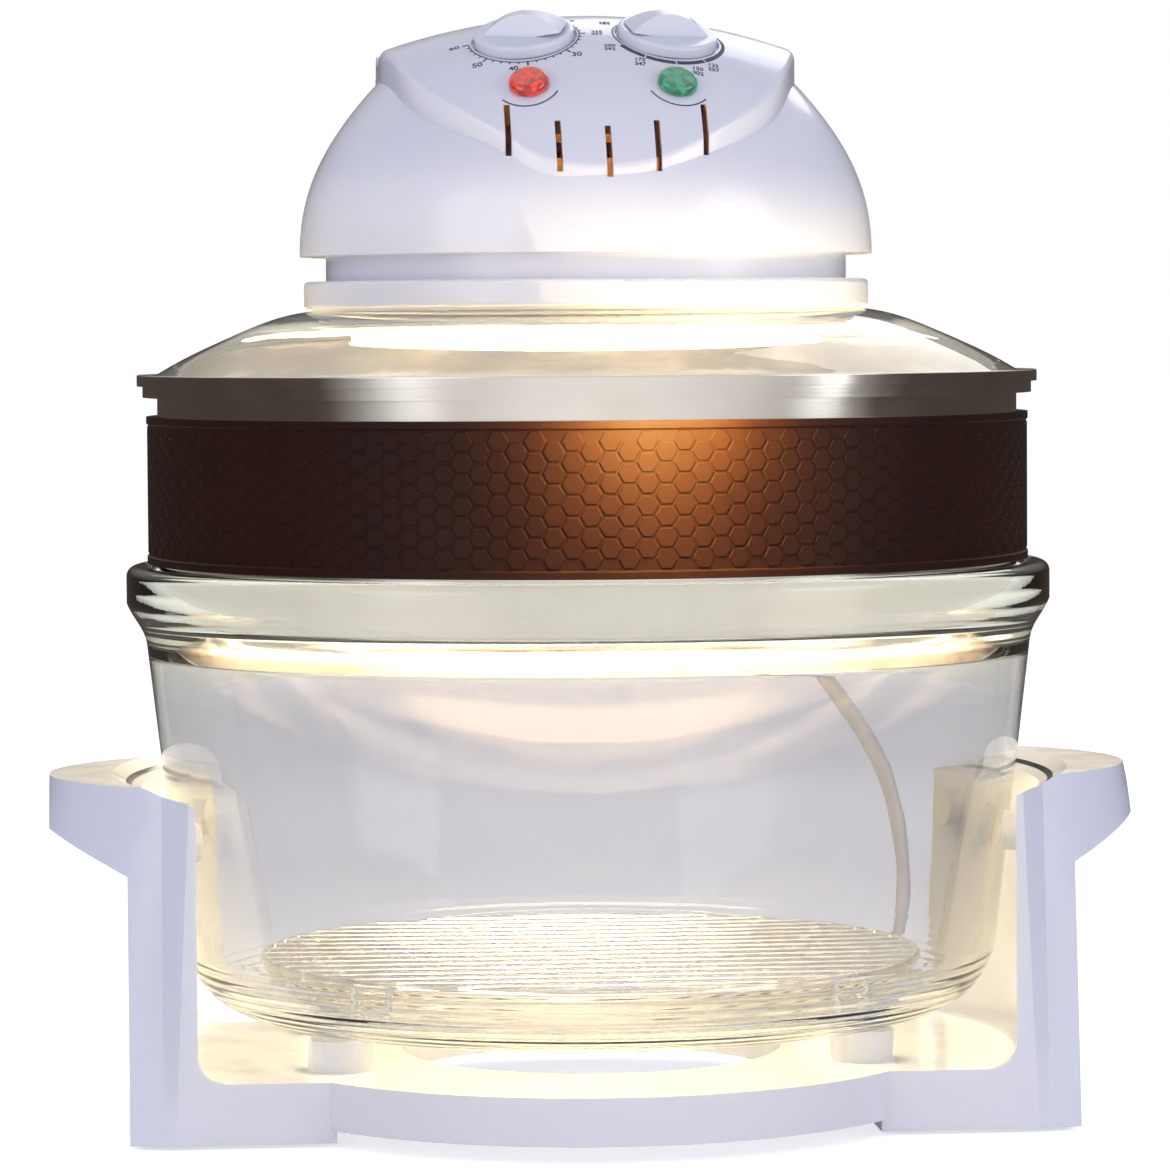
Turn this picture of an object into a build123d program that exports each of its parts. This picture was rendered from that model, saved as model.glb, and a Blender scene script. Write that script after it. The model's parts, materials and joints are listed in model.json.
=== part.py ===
from build123d import *
import math
import os

# Halogen oven, in millimetres.  The origin lies on the table under the bowl's
# axis, +Z is up and the controls face -Y.  From the table up: a stand with two
# handles, a glass bowl with a wire rack, a steel extender ring in a silicone
# sleeve, and a lift-off glass lid that carries the lamp, the fan and the controls.

os.makedirs("parts", exist_ok=True)

# ---------------------------------------------------------------- driving dimensions
# Stand
plastic_wall = 3.0
stand_bottom = 1.5            # underside of the moulding; the rubber feet reach the table
tray_top = 22.7
band_radius = 123.0           # curved band between the two feet
band_bottom = 6.0
tray_opening_radius = 68.0
foot_inner = 94.5             # a foot's inner and outer side, from the middle
foot_outer = 165.5
foot_half_depth = 76.0
well_corner = 9.0
handle_reach = 193.0          # tip of each handle, from the middle
handle_top = 124.0
handle_tip_low = 106.5
handle_root = 93.0            # underside of the handle where it meets the pillar
handle_plan_radius = 70.0
lead_in_width = 10.0          # sloped edge round the top of the well
lead_in_depth = 6.0

rubber_foot_radius = 9.0
rubber_foot_height = 5.0
rubber_foot_x = 150.0
rubber_foot_y = 54.0
pad_radius = 10.0
pad_height = 4.0
pad_x = 92.0
pad_y = 46.0
bumper_radius = 7.0
bumper_height_z = 104.0
bumper_angle = 21.0
bumper_gap = 0.5
seat_clearance = 0.1          # between pieces that are pressed or glued together

# Bowl
bowl_bottom = 37.5
bowl_wall = 5.0
bowl_corner = 29.0
bowl_neck_radius = 158.0
bowl_base_radius = bowl_neck_radius - 15.2    # where the outside would meet the bottom
bowl_neck_height = 170.0
rim_radius = bowl_neck_radius + 7.0
rim_low = bowl_neck_height + 14.5
rim_top = rim_low + 13.0
rim_bore_radius = bowl_neck_radius - 2.8
rim_ledge = bowl_neck_height + 10.0           # the extender ring stands here

well_radius = bowl_neck_radius + 3.0          # room in the stand that the bowl stands in

# Rack
rack_radius = 117.0
rack_wire = 3.6
rack_cross_wire = 2.4
rack_cross_pitch = 13.0
rack_cross_lift = 1.1
rack_cross_count = 17
rack_leg_height = 14.0
rack_leg_width = 16.0
rack_leg_bend = 4.0
rack_gap = 0.2

# Extender ring and sleeve
sheet = 1.0
ring_radius = rim_bore_radius - 1.8
ring_ledge = rim_ledge + 77.5                 # underside of the ledge that carries the lid
ring_ledge_radius = ring_radius + 5.2
ring_lip_low = ring_ledge + 4.0
ring_lip_radius = ring_ledge_radius + 2.0
ring_lip_top = ring_lip_low + 4.0
sleeve_radius = ring_radius + 3.4
sleeve_low = rim_top + 1.3
sleeve_top = ring_ledge - 6.8
sleeve_bead = 0.6

# Glass lid and what is clamped to it
glass = 5.0
lid_clearance = 0.4           # between the lid's edge and the ring
lid_shoulder_radius = ring_ledge_radius - 5.9
lid_shoulder_height = ring_ledge + 8.5
lid_land_radius = 102.0       # flat land under the head
lid_top = ring_ledge + 30.0
lid_belly_radius = 126.0      # a place half way down the slope
lid_belly_height = lid_top - 8.3
lid_bore_radius = 86.0
gasket = 1.0
can_radius = 84.0             # lamp housing below the glass
can_sheet = 0.8
can_bottom = lid_top - 22.0
can_top = lid_top + 10.5
can_bore_radius = 9.0
clamp_radius = 95.0
clamp_height = 2.2

lamp_ring_radius = 60.0
lamp_tube_radius = 5.5
lamp_height = lid_top - 11.5
lamp_gap_angle = 50.0         # left open between the ends of the ring tube
lamp_holder_width = 14.0
lamp_holder_depth = 18.0

guard_wire = 1.8
guard_spoke_wire = 2.2
guard_radii = (14.0, 27.0, 40.0, 53.0, 66.0, 79.0)
guard_spokes = 6

# Fan and motor
shaft_radius = 2.5
bush_clearance = 0.05
fan_radius = 43.0
fan_blades = 8
fan_low = lid_top - 16.0
fan_height = 11.0
cooling_fan_radius = 40.0
cooling_fan_low = lid_top + 21.5
cooling_fan_height = 7.0
motor_core = 48.0
motor_core_thickness = 16.0
motor_core_low = lid_top + 37.5
rotor_radius = 12.0
rotor_gap = 0.5
motor_plate = 1.5
motor_bracket_depth = 22.0
coil_window = 14.0
core_limb = 9.0
coil_length = 24.0
heat_shield_gap = 3.0
heat_shield_thickness = 4.0

# Head mouldings
collar_radius = 100.8
collar_low = lid_top + gasket
collar_top = collar_low + 9.5
neck_radius = 92.9
dome_low = collar_top + 9.0
dome_radius = 102.2
dome_shoulder_radius = 93.5
dome_shoulder_height = dome_low + 35.5
dome_upper_radius = 74.7
dome_upper_height = dome_low + 60.7
dome_top = dome_low + 78.0
crown_top = dome_low + 84.8   # crest of the raised control panel
crown_radius_front_back = 105.0
crown_radius_sideways = 220.0
crown_forward = 5.0
panel_front = 97.9
panel_half_width = 73.5
panel_side_front = 8.0        # the straight sides start here
panel_back = 27.0
panel_low = dome_low + 20.0
panel_edge_radius = 4.0
panel_back_bow = 20.0
panel_overlap = 6.0           # the dome runs this far in under the panel's edge
# the shield's curve, as shares of its half width and of its front
panel_curve = ((0.463, 0.903), (0.816, 0.649), (0.97, 0.284))

knob_x = 25.0
knob_y = -45.0
knob_radius = 17.5
knob_skirt = 4.0
knob_recess_radius = 18.6
knob_recess = 2.2
knob_gap = 0.5
grip_length = 30.0
grip_foot = 13.5              # the grip's thickness where it meets the disc, and at its top
grip_crest = 5.5
grip_height = 6.6             # above the disc
grip_turns = (-22.0, 16.0)    # how the timer's and the thermostat's grips point at rest
control_shaft_radius = 3.0
shaft_hole_radius = 3.6

lens_x = 25.5
lens_y = -73.5
lens_radius = 7.0
lens_stem_radius = 5.6
lens_stem_length = 11.0
lens_dome = 3.2
neon_radius = 3.0
neon_seat = 7.0

slot_width = 2.1
slot_places = (-33.7, -16.9, 0.0, 16.9, 33.7)
slot_low_middle = dome_low + 25.0
slot_top_middle = slot_low_middle + 17.6
slot_lift = 7.5               # how much higher the outer slots are
slot_inner_radius = 82.0      # the slots are cut outwards from here

handle_pivot_y = 40.0
handle_pivot_z = dome_low + 67.0
handle_pin_radius = 2.5
handle_arm_inner = 62.6
handle_arm_outer = 68.4
handle_side_gap = 0.5
handle_grip_y = 110.0
handle_grip_z = handle_pivot_z - 38.5
handle_thickness = 6.0
handle_grip_width = 17.0
grip_thickness = 12.0
handle_eye_radius = 5.2

# ---------------------------------------------------------------- stand


def stand_side(inset):
    """The right side of the stand; with an inset, the hollow inside its walls."""
    tip = handle_reach - inset
    outer = foot_outer - inset
    inner = foot_inner + inset
    top = handle_top - inset
    root = handle_root + inset * 0.4
    low = stand_bottom if inset == 0 else stand_bottom - 1.0
    depth = foot_half_depth - inset
    with BuildPart() as side:
        with BuildSketch(Plane.XZ):
            with BuildLine():
                Polyline(
                    (inner, low), (outer, low), (outer, root),
                    (tip, handle_tip_low + inset * 0.6),
                    (tip, top), (inner, top), close=True,
                )
            make_face()
        extrude(amount=depth, both=True)
        # in plan the pillar is flat in front, then falls back to the round handle
        plans = (
            (stand_bottom - 2.0, 150.0, 154.0, 0.4, 143.0, foot_half_depth - 1.4),
            (handle_top + 1.0, 144.0, 153.5, 13.0, 123.0, handle_plan_radius),
        )
        for height, flat_end, flare_end, fall, centre, radius in plans:
            flare_y = depth - fall
            reach = centre + radius - inset
            with BuildSketch(Plane.XY.offset(height)):
                with BuildLine():
                    front = Polyline(
                        (inner - 60, -depth), (flat_end, -depth), (flare_end, -flare_y))
                    ThreePointArc((flare_end, -flare_y), (reach, 0), (flare_end, flare_y))
                    Polyline((flare_end, flare_y), (flat_end, depth), (inner - 60, depth),
                             (inner - 60, -depth))
                make_face()
        loft(mode=Mode.INTERSECT)
    return side.part


with BuildPart() as bowl_well:
    with BuildSketch(Plane.XZ) as well_profile:
        with Locations((0, tray_top)):
            Rectangle(well_radius, 160, align=(Align.MIN, Align.MIN))
        fillet(well_profile.vertices().group_by(Axis.Y)[0].sort_by(Axis.X)[-1], well_corner)
    revolve(axis=Axis.Z)
    # sloped edge that guides the bowl in
    with BuildSketch(Plane.XZ):
        with BuildLine():
            Polyline((0, handle_top - lead_in_depth), (well_radius, handle_top - lead_in_depth),
                     (well_radius + lead_in_width, handle_top), (0, handle_top), close=True)
        make_face()
    revolve(axis=Axis.Z)

with BuildPart() as well_wall:
    with BuildSketch(Plane.XZ) as well_wall_profile:
        with Locations((0, tray_top - plastic_wall)):
            Rectangle(well_radius + plastic_wall, 200, align=(Align.MIN, Align.MIN))
        fillet(well_wall_profile.vertices().group_by(Axis.Y)[0].sort_by(Axis.X)[-1],
               well_corner + plastic_wall)
    revolve(axis=Axis.Z)

foot_places = [(sx * rubber_foot_x, sy * rubber_foot_y) for sx in (-1, 1) for sy in (-1, 1)]
pad_places = [(sx * pad_x, sy * pad_y) for sx in (-1, 1) for sy in (-1, 1)]
bowl_slope = (bowl_neck_radius - bowl_base_radius) / (bowl_neck_height - bowl_bottom)
bumper_face = bowl_base_radius + bowl_slope * (bumper_height_z + bumper_radius - bowl_bottom)
bumper_face += bumper_gap
bumper_planes = [
    Plane(origin=(0, 0, bumper_height_z), z_dir=Vector(1, 0, 0).rotate(Axis.Z, side + lean))
    for side in (0, 180) for lean in (-bumper_angle, bumper_angle)
]
bumper_back = well_radius + 1.2

with BuildPart() as base_frame:
    # the two sides with their handles, and the curved band that joins them
    side_solid = stand_side(0)
    side_hollow = stand_side(plastic_wall)
    add(side_solid)
    add(side_solid.mirror(Plane.YZ))
    with BuildSketch(Plane.XY.offset(band_bottom)):
        Circle(band_radius)
    extrude(amount=tray_top - band_bottom)
    add(bowl_well.part, mode=Mode.SUBTRACT)
    # hollow undersides of the feet and of the band, with a floor left above them
    hollow = side_hollow - well_wall.part
    add(hollow, mode=Mode.SUBTRACT)
    add(hollow.mirror(Plane.YZ), mode=Mode.SUBTRACT)
    with BuildSketch(Plane.XY.offset(band_bottom)):
        Circle(band_radius - plastic_wall)
        Rectangle(2 * foot_inner, 3 * band_radius, mode=Mode.INTERSECT)
    extrude(amount=tray_top - plastic_wall - band_bottom, mode=Mode.SUBTRACT)
    # opening in the middle of the tray, with a turned-down lip
    with BuildSketch(Plane.XY.offset(band_bottom + 6)):
        Circle(tray_opening_radius + plastic_wall)
    extrude(amount=tray_top - band_bottom - 6)
    with BuildSketch(Plane.XY.offset(band_bottom)):
        Circle(tray_opening_radius)
    extrude(amount=tray_top, mode=Mode.SUBTRACT)
    # posts for the bowl's pads, and bosses that hold the rubber feet
    with BuildSketch(Plane.XY.offset(tray_top - plastic_wall)):
        with Locations(*pad_places):
            Circle(pad_radius + 1.5)
    extrude(amount=bowl_bottom - pad_height - tray_top + plastic_wall)
    with BuildSketch(Plane.XY.offset(stand_bottom)):
        with Locations(*foot_places):
            Circle(rubber_foot_radius + 2.0)
    extrude(amount=tray_top - plastic_wall - stand_bottom)
    with BuildSketch(Plane.XY):
        with Locations(*foot_places):
            Circle(rubber_foot_radius + seat_clearance)
    extrude(amount=rubber_foot_height, mode=Mode.SUBTRACT)
    # flat seats for the side bumpers
    for plane in bumper_planes:
        with BuildSketch(plane.offset(bumper_face)):
            Circle(bumper_radius + seat_clearance)
        extrude(amount=bumper_back - bumper_face, mode=Mode.SUBTRACT)
base_frame.part.label = "base_frame"
export_step(base_frame.part, "parts/base_frame.step")

with BuildPart() as rubber_feet:
    with BuildSketch(Plane.XY):
        with Locations(*foot_places):
            Circle(rubber_foot_radius)
    extrude(amount=rubber_foot_height)
    chamfer(rubber_feet.edges().group_by(Axis.Z)[0], 0.8)
rubber_feet.part.label = "rubber_feet"
export_step(rubber_feet.part, "parts/rubber_feet.step")

with BuildPart() as support_pads:
    with BuildSketch(Plane.XY.offset(bowl_bottom - pad_height)):
        with Locations(*pad_places):
            Circle(pad_radius)
    extrude(amount=pad_height)
    chamfer(support_pads.edges().group_by(Axis.Z)[-1], 0.8)
support_pads.part.label = "support_pads"
export_step(support_pads.part, "parts/support_pads.step")

with BuildPart() as side_bumpers:
    for plane in bumper_planes:
        with BuildSketch(plane.offset(bumper_face)):
            Circle(bumper_radius)
        extrude(amount=bumper_back - bumper_face)
side_bumpers.part.label = "side_bumpers"
export_step(side_bumpers.part, "parts/side_bumpers.step")

# ---------------------------------------------------------------- bowl and rack

with BuildPart() as glass_bowl:
    inside_base = bowl_base_radius - bowl_wall
    with BuildSketch(Plane.XZ):
        with BuildLine():
            # outside, from the middle of the bottom to the rim
            FilletPolyline(
                (0, bowl_bottom), (bowl_base_radius, bowl_bottom),
                (bowl_neck_radius, bowl_neck_height), radius=bowl_corner)
            Spline((bowl_neck_radius, bowl_neck_height), (rim_radius, rim_low),
                   tangents=((bowl_slope, 1), (0.35, 1)))
            FilletPolyline(
                (rim_radius, rim_low), (rim_radius, rim_top), (rim_bore_radius, rim_top),
                (rim_bore_radius, rim_ledge), radius=(3.5, 2.5))
            # the ledge for the ring, then the inside down to the bottom
            FilletPolyline(
                (rim_bore_radius, rim_ledge), (rim_bore_radius - 4.0, rim_ledge),
                (bowl_neck_radius - bowl_wall - 0.4, bowl_neck_height - 4.0),
                (inside_base, bowl_bottom + bowl_wall), (0, bowl_bottom + bowl_wall),
                radius=(1.0, 8.0, bowl_corner - bowl_wall))
            Line((0, bowl_bottom + bowl_wall), (0, bowl_bottom))
        make_face()
    revolve(axis=Axis.Z)
glass_bowl.part.label = "glass_bowl"
export_step(glass_bowl.part, "parts/glass_bowl.step")

rack_floor = bowl_bottom + bowl_wall + rack_gap
rack_height = rack_floor + rack_leg_height        # middle of the rim wire
leg_angles = (45, 135, 225, 315)
leg_top = rack_height - 0.5                       # sunk in the rim wire, where it is welded
leg_radius = rack_radius - 1.0

with BuildPart() as low_rack:
    # rim wire
    with BuildSketch(Plane.XZ):
        with Locations((rack_radius, rack_height)):
            Circle(rack_wire / 2)
    revolve(axis=Axis.Z)
    # cross wires, laid on the rim wire and sunk half way where they are welded
    for number in range(rack_cross_count):
        y = (number - (rack_cross_count - 1) / 2) * rack_cross_pitch
        half_length = math.sqrt(rack_radius**2 - y**2)
        with BuildSketch(Plane.YZ.offset(-half_length)):
            with Locations((y, rack_height + rack_cross_lift)):
                Circle(rack_cross_wire / 2)
        extrude(amount=2 * half_length)
    # legs bent from wire in the shape of a U
    for angle in leg_angles:
        middle = Plane(origin=Vector(leg_radius, 0, 0).rotate(Axis.Z, angle),
                       x_dir=Vector(0, 1, 0).rotate(Axis.Z, angle),
                       z_dir=Vector(1, 0, 0).rotate(Axis.Z, angle))
        half = rack_leg_width / 2
        foot = rack_floor + rack_cross_wire / 2
        with BuildLine(middle) as leg_path:
            FilletPolyline((-half, leg_top), (-half, foot), (half, foot), (half, leg_top),
                           radius=rack_leg_bend)
        with BuildSketch(leg_path.line ^ 0):
            Circle(rack_cross_wire / 2)
        sweep(path=leg_path.line)
low_rack.part.label = "low_rack"
export_step(low_rack.part, "parts/low_rack.step")

# ---------------------------------------------------------------- extender ring

with BuildPart() as extender_ring:
    # rolled from sheet: skirt, ledge for the lid, upstand and rolled lip
    with BuildSketch(Plane.XZ):
        with BuildLine():
            Polyline(
                (ring_radius - sheet, rim_ledge), (ring_radius, rim_ledge),
                (ring_radius, ring_ledge), (ring_ledge_radius, ring_ledge),
                (ring_ledge_radius, ring_lip_low), (ring_lip_radius, ring_lip_low),
                (ring_lip_radius, ring_lip_top), (ring_lip_radius - sheet, ring_lip_top),
                (ring_lip_radius - sheet, ring_lip_low + sheet),
                (ring_ledge_radius - sheet, ring_lip_low + sheet),
                (ring_ledge_radius - sheet, ring_ledge + sheet),
                (ring_radius - sheet, ring_ledge + sheet), close=True)
        make_face()
    revolve(axis=Axis.Z)
    fillet(extender_ring.edges().group_by(Axis.Z)[-1], sheet * 0.45)
extender_ring.part.label = "extender_ring"
export_step(extender_ring.part, "parts/extender_ring.step")

with BuildPart() as silicone_sleeve:
    with BuildSketch(Plane.XZ):
        with BuildLine():
            Polyline(
                (ring_radius + seat_clearance, sleeve_low),
                (sleeve_radius + sleeve_bead, sleeve_low),
                (sleeve_radius + sleeve_bead, sleeve_low + 2.4),
                (sleeve_radius, sleeve_low + 3.0), (sleeve_radius, sleeve_top - 3.0),
                (sleeve_radius + sleeve_bead, sleeve_top - 2.4),
                (sleeve_radius + sleeve_bead, sleeve_top),
                (ring_radius + seat_clearance, sleeve_top), close=True)
        make_face()
    revolve(axis=Axis.Z)
silicone_sleeve.part.label = "silicone_sleeve"
export_step(silicone_sleeve.part, "parts/silicone_sleeve.step")

# ---------------------------------------------------------------- glass lid and lamp housing

lid_edge_radius = ring_ledge_radius - sheet - lid_clearance
lid_seat = ring_ledge + sheet

with BuildPart() as glass_lid:
    with BuildSketch(Plane.XZ):
        with BuildLine():
            # top face: land, gently bulging slope, shoulder and rounded edge
            Line((lid_bore_radius, lid_top), (lid_land_radius - 3.0, lid_top))
            Spline((lid_land_radius - 3.0, lid_top), (lid_belly_radius, lid_belly_height),
                   (lid_shoulder_radius, lid_shoulder_height), tangents=((1, -0.1), (1, -0.62)))
            FilletPolyline((lid_shoulder_radius, lid_shoulder_height),
                           (lid_edge_radius, lid_shoulder_height - 2.6),
                           (lid_edge_radius, lid_seat), (lid_shoulder_radius - 4.0, lid_seat),
                           radius=(1.5, 1.0))
            # underside
            Spline((lid_shoulder_radius - 4.0, lid_seat), (lid_belly_radius - 1.0, lid_belly_height - glass),
                   (lid_land_radius - 3.0, lid_top - glass), tangents=((-1, 0.95), (-1, 0.1)))
            Polyline((lid_land_radius - 3.0, lid_top - glass),
                     (lid_bore_radius, lid_top - glass), (lid_bore_radius, lid_top))
        make_face()
    revolve(axis=Axis.Z)
glass_lid.part.label = "glass_lid"
export_step(glass_lid.part, "parts/glass_lid.step")


def washer(outer, inner, low, height):
    """A flat ring about the upright axis."""
    with BuildPart() as ring:
        with BuildSketch(Plane.XY.offset(low)):
            Circle(outer)
            Circle(inner, mode=Mode.SUBTRACT)
        extrude(amount=height)
    return ring.part


with BuildPart() as lid_gasket:
    add(washer(lid_land_radius - 4.0, lid_bore_radius, lid_top, gasket))
lid_gasket.part.label = "lid_gasket"
export_step(lid_gasket.part, "parts/lid_gasket.step")

can_inner = can_radius - can_sheet
with BuildPart() as lamp_housing:
    # bright can: the side passes up through the glass, the top is the reflector
    with BuildSketch(Plane.XZ):
        with BuildLine():
            Polyline(
                (can_radius + 1.2, can_bottom), (can_radius + 1.2, can_bottom + can_sheet),
                (can_radius, can_bottom + can_sheet), (can_radius, can_top),
                (can_bore_radius, can_top), (can_bore_radius, can_top - can_sheet),
                (can_inner - 12.0, can_top - can_sheet), (can_inner, can_top - 9.0),
                (can_inner, can_bottom), close=True)
        make_face()
    revolve(axis=Axis.Z)
lamp_housing.part.label = "lamp_housing"
export_step(lamp_housing.part, "parts/lamp_housing.step")

with BuildPart() as clamp_ring:
    add(washer(clamp_radius, can_radius + seat_clearance, lid_top - glass - clamp_height, clamp_height))
    fillet(clamp_ring.edges().group_by(Axis.Z)[0], 0.8)
clamp_ring.part.label = "clamp_ring"
export_step(clamp_ring.part, "parts/clamp_ring.step")

half_gap = math.radians(lamp_gap_angle / 2)
lamp_end_x = lamp_ring_radius * math.sin(half_gap)
lamp_end_y = lamp_ring_radius * math.cos(half_gap)

with BuildPart() as halogen_lamp:
    # ring tube of quartz, open towards the back
    with BuildLine():
        lamp_path = ThreePointArc((lamp_end_x, lamp_end_y, lamp_height),
                                  (0, -lamp_ring_radius, lamp_height),
                                  (-lamp_end_x, lamp_end_y, lamp_height))
    with BuildSketch(Plane(origin=lamp_path @ 0, z_dir=lamp_path % 0)):
        Circle(lamp_tube_radius)
    sweep(path=lamp_path)
halogen_lamp.part.label = "halogen_lamp"
export_step(halogen_lamp.part, "parts/halogen_lamp.step")

with BuildPart() as lamp_holders:
    # two ceramic blocks hung from the reflector, each over one end of the tube
    for side in (-1, 1):
        end = Plane(origin=(side * lamp_end_x, lamp_end_y, lamp_height),
                    z_dir=Vector(-side * lamp_end_y, lamp_end_x, 0))
        with BuildSketch(end.offset(-lamp_holder_depth * 0.2)):
            Rectangle(lamp_holder_width, lamp_holder_width)
        extrude(amount=lamp_holder_depth * 0.8)
        with BuildSketch(end):
            Circle(lamp_tube_radius + 3 * seat_clearance)
        extrude(amount=-lamp_holder_depth, mode=Mode.SUBTRACT)
        with BuildSketch(Plane.XY.offset(lamp_height + lamp_holder_width / 2 - 1.0)):
            with Locations(end.offset(lamp_holder_depth * 0.3).origin):
                Circle(5.0)
        extrude(amount=can_top - can_sheet - lamp_height - lamp_holder_width / 2 + 1.0)
lamp_holders.part.label = "lamp_holders"
export_step(lamp_holders.part, "parts/lamp_holders.step")

guard_height = can_bottom + can_sheet + guard_wire
with BuildPart() as lamp_guard:
    # rings of wire with spokes across them, sprung into the mouth of the can
    with BuildSketch(Plane.XZ):
        for radius in guard_radii:
            with Locations((radius, guard_height)):
                Circle(guard_wire / 2)
    revolve(axis=Axis.Z)
    for number in range(guard_spokes):
        spoke = Plane(origin=(0, 0, guard_height + guard_wire * 0.55),
                      z_dir=Vector(1, 0, 0).rotate(Axis.Z, 30 + 360 * number / guard_spokes))
        with BuildSketch(spoke.offset(guard_radii[0] - guard_wire)):
            Circle(guard_spoke_wire / 2)
        extrude(amount=can_inner - seat_clearance - guard_radii[0] + guard_wire)
lamp_guard.part.label = "lamp_guard"
export_step(lamp_guard.part, "parts/lamp_guard.step")

# ---------------------------------------------------------------- head mouldings

floor_low = can_top + heat_shield_gap
floor_top = floor_low + plastic_wall
dome_inner_radius = dome_radius - plastic_wall
spigot_radius = dome_inner_radius - seat_clearance * 3

with BuildPart() as heat_shield:
    add(washer(can_inner - 4.0, can_bore_radius, can_top, heat_shield_gap))
heat_shield.part.label = "heat_shield"
export_step(heat_shield.part, "parts/heat_shield.step")

with BuildPart() as head_base:
    # collar on the glass, neck, floor over the lamp housing, spigot for the dome
    collar_bore = can_radius + 3.0
    with BuildSketch(Plane.XZ):
        with BuildLine():
            Polyline(
                (collar_bore, collar_low), (collar_radius, collar_low),
                (collar_radius, collar_top), (neck_radius, collar_top),
                (neck_radius, dome_low), (spigot_radius, dome_low),
                (spigot_radius, dome_low + plastic_wall),
                (neck_radius - plastic_wall, dome_low + plastic_wall),
                (neck_radius - plastic_wall, floor_top), (can_bore_radius, floor_top),
                (can_bore_radius, floor_low), (collar_bore, floor_low), close=True)
        make_face()
    revolve(axis=Axis.Z)
    collar_edges = head_base.edges().filter_by(GeomType.CIRCLE)
    collar_edges = collar_edges.filter_by(lambda edge: abs(edge.radius - collar_radius) < 0.1)
    fillet(collar_edges, 1.6)
    # air inlets in the floor
    with BuildSketch(Plane.XY.offset(floor_low)):
        with PolarLocations(62.0, 8, start_angle=22.5):
            Circle(5.0)
    extrude(amount=plastic_wall, mode=Mode.SUBTRACT)
head_base.part.label = "head_base"
export_step(head_base.part, "parts/head_base.step")

crown_centre_z = crown_top - crown_radius_front_back


def on_panel(x, y):
    """Plane that touches the panel's double-curved top above (x, y)."""
    across = math.sqrt(crown_radius_sideways**2 - x**2)
    ring = crown_radius_front_back - crown_radius_sideways + across
    back = y + crown_forward
    rise = math.sqrt(ring**2 - back**2)
    normal = Vector(x, across * back / ring, across * rise / ring).normalized()
    return Plane(origin=(x, y, crown_centre_z + rise),
                 x_dir=Vector(normal.Z, 0, -normal.X), z_dir=normal)


def dome(inset):
    """The dome's outer form, or its hollow when inset is the wall."""
    with BuildPart() as half_round:
        with BuildSketch(Plane.XZ):
            with BuildLine():
                Spline((dome_radius - inset, dome_low),
                       (dome_shoulder_radius - 0.8 * inset, dome_shoulder_height - 0.6 * inset),
                       (dome_upper_radius - 0.6 * inset, dome_upper_height - 0.8 * inset),
                       (0, dome_top - inset), tangents=((0, 1), (-1, 0)))
                Polyline((0, dome_top - inset), (0, dome_low), (dome_radius - inset, dome_low))
            make_face()
        revolve(axis=Axis.Z)
    return half_round.part


def shield(inset):
    """Upright block with the control panel's outline: a shield in plan."""
    side = panel_half_width - inset
    front = panel_front - inset
    with BuildPart() as block:
        with BuildSketch(Plane.XY.offset(panel_low)):
            with BuildLine():
                curve = [(side * across, -front * ahead) for across, ahead in panel_curve]
                Spline((0, -front), *curve, (side, -panel_side_front), tangents=((1, 0), (0, 1)))
                Line((side, -panel_side_front), (side, panel_back - inset))
                ThreePointArc((side, panel_back - inset), (0, panel_back + panel_back_bow - inset),
                              (-side, panel_back - inset))
                Line((-side, panel_back - inset), (-side, -panel_side_front))
                Spline((-side, -panel_side_front), *[(-x, y) for x, y in reversed(curve)],
                       (0, -front), tangents=((0, -1), (1, 0)))
            make_face()
        extrude(amount=crown_top + 5.0 - panel_low)
    return block.part


def panel_cap(inset):
    """The raised control panel: the shield under a double-curved top."""
    with BuildPart() as cap:
        add(shield(inset))
        # top: an arc from side to side, turned about a line from side to side
        sideways = crown_radius_sideways - inset
        front_back = crown_radius_front_back - inset
        width = panel_half_width + 4.0
        edge = front_back - sideways + math.sqrt(sideways**2 - width**2)
        with BuildSketch(Plane.XZ.offset(crown_forward)):
            with BuildLine():
                Polyline((-width, crown_centre_z + edge), (-width, crown_centre_z),
                         (width, crown_centre_z), (width, crown_centre_z + edge))
                ThreePointArc((width, crown_centre_z + edge), (0, crown_centre_z + front_back),
                              (-width, crown_centre_z + edge))
            make_face()
        revolve(axis=Axis((0, -crown_forward, crown_centre_z), (1, 0, 0)), mode=Mode.INTERSECT)
        if inset == 0:
            fillet(cap.faces().sort_by(Axis.Z)[-1].edges(), panel_edge_radius)
    return cap.part


def head_form(inset):
    """Dome and panel in one; the dome never stands proud of the panel's middle."""
    with BuildPart() as form:
        add(dome(inset))
        add(shield(inset + panel_overlap), mode=Mode.SUBTRACT)
        add(panel_cap(inset))
    return form.part


timer_plane = on_panel(-knob_x, knob_y)
thermostat_plane = on_panel(knob_x, knob_y)
knob_planes = (timer_plane, thermostat_plane)
lens_planes = (on_panel(-lens_x, lens_y), on_panel(lens_x, lens_y))
lug_inner = handle_arm_outer + handle_side_gap
lug_outer = panel_half_width - 1.0
lug_radius = 6.0

switch_z = dome_low + 28.0
switch_face = 88.0            # flat boss inside the dome that the switch is screwed to
plunger_radius = 2.0
plunger_tip = 99.3
plunger_length = 16.0
switch_depth = 16.0

gland_angle = 70.0
gland_z = dome_low + 9.0
gland_hole_radius = 5.4
gland = Plane(origin=(0, 0, gland_z), z_dir=Vector(1, 0, 0).rotate(Axis.Z, gland_angle))

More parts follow.
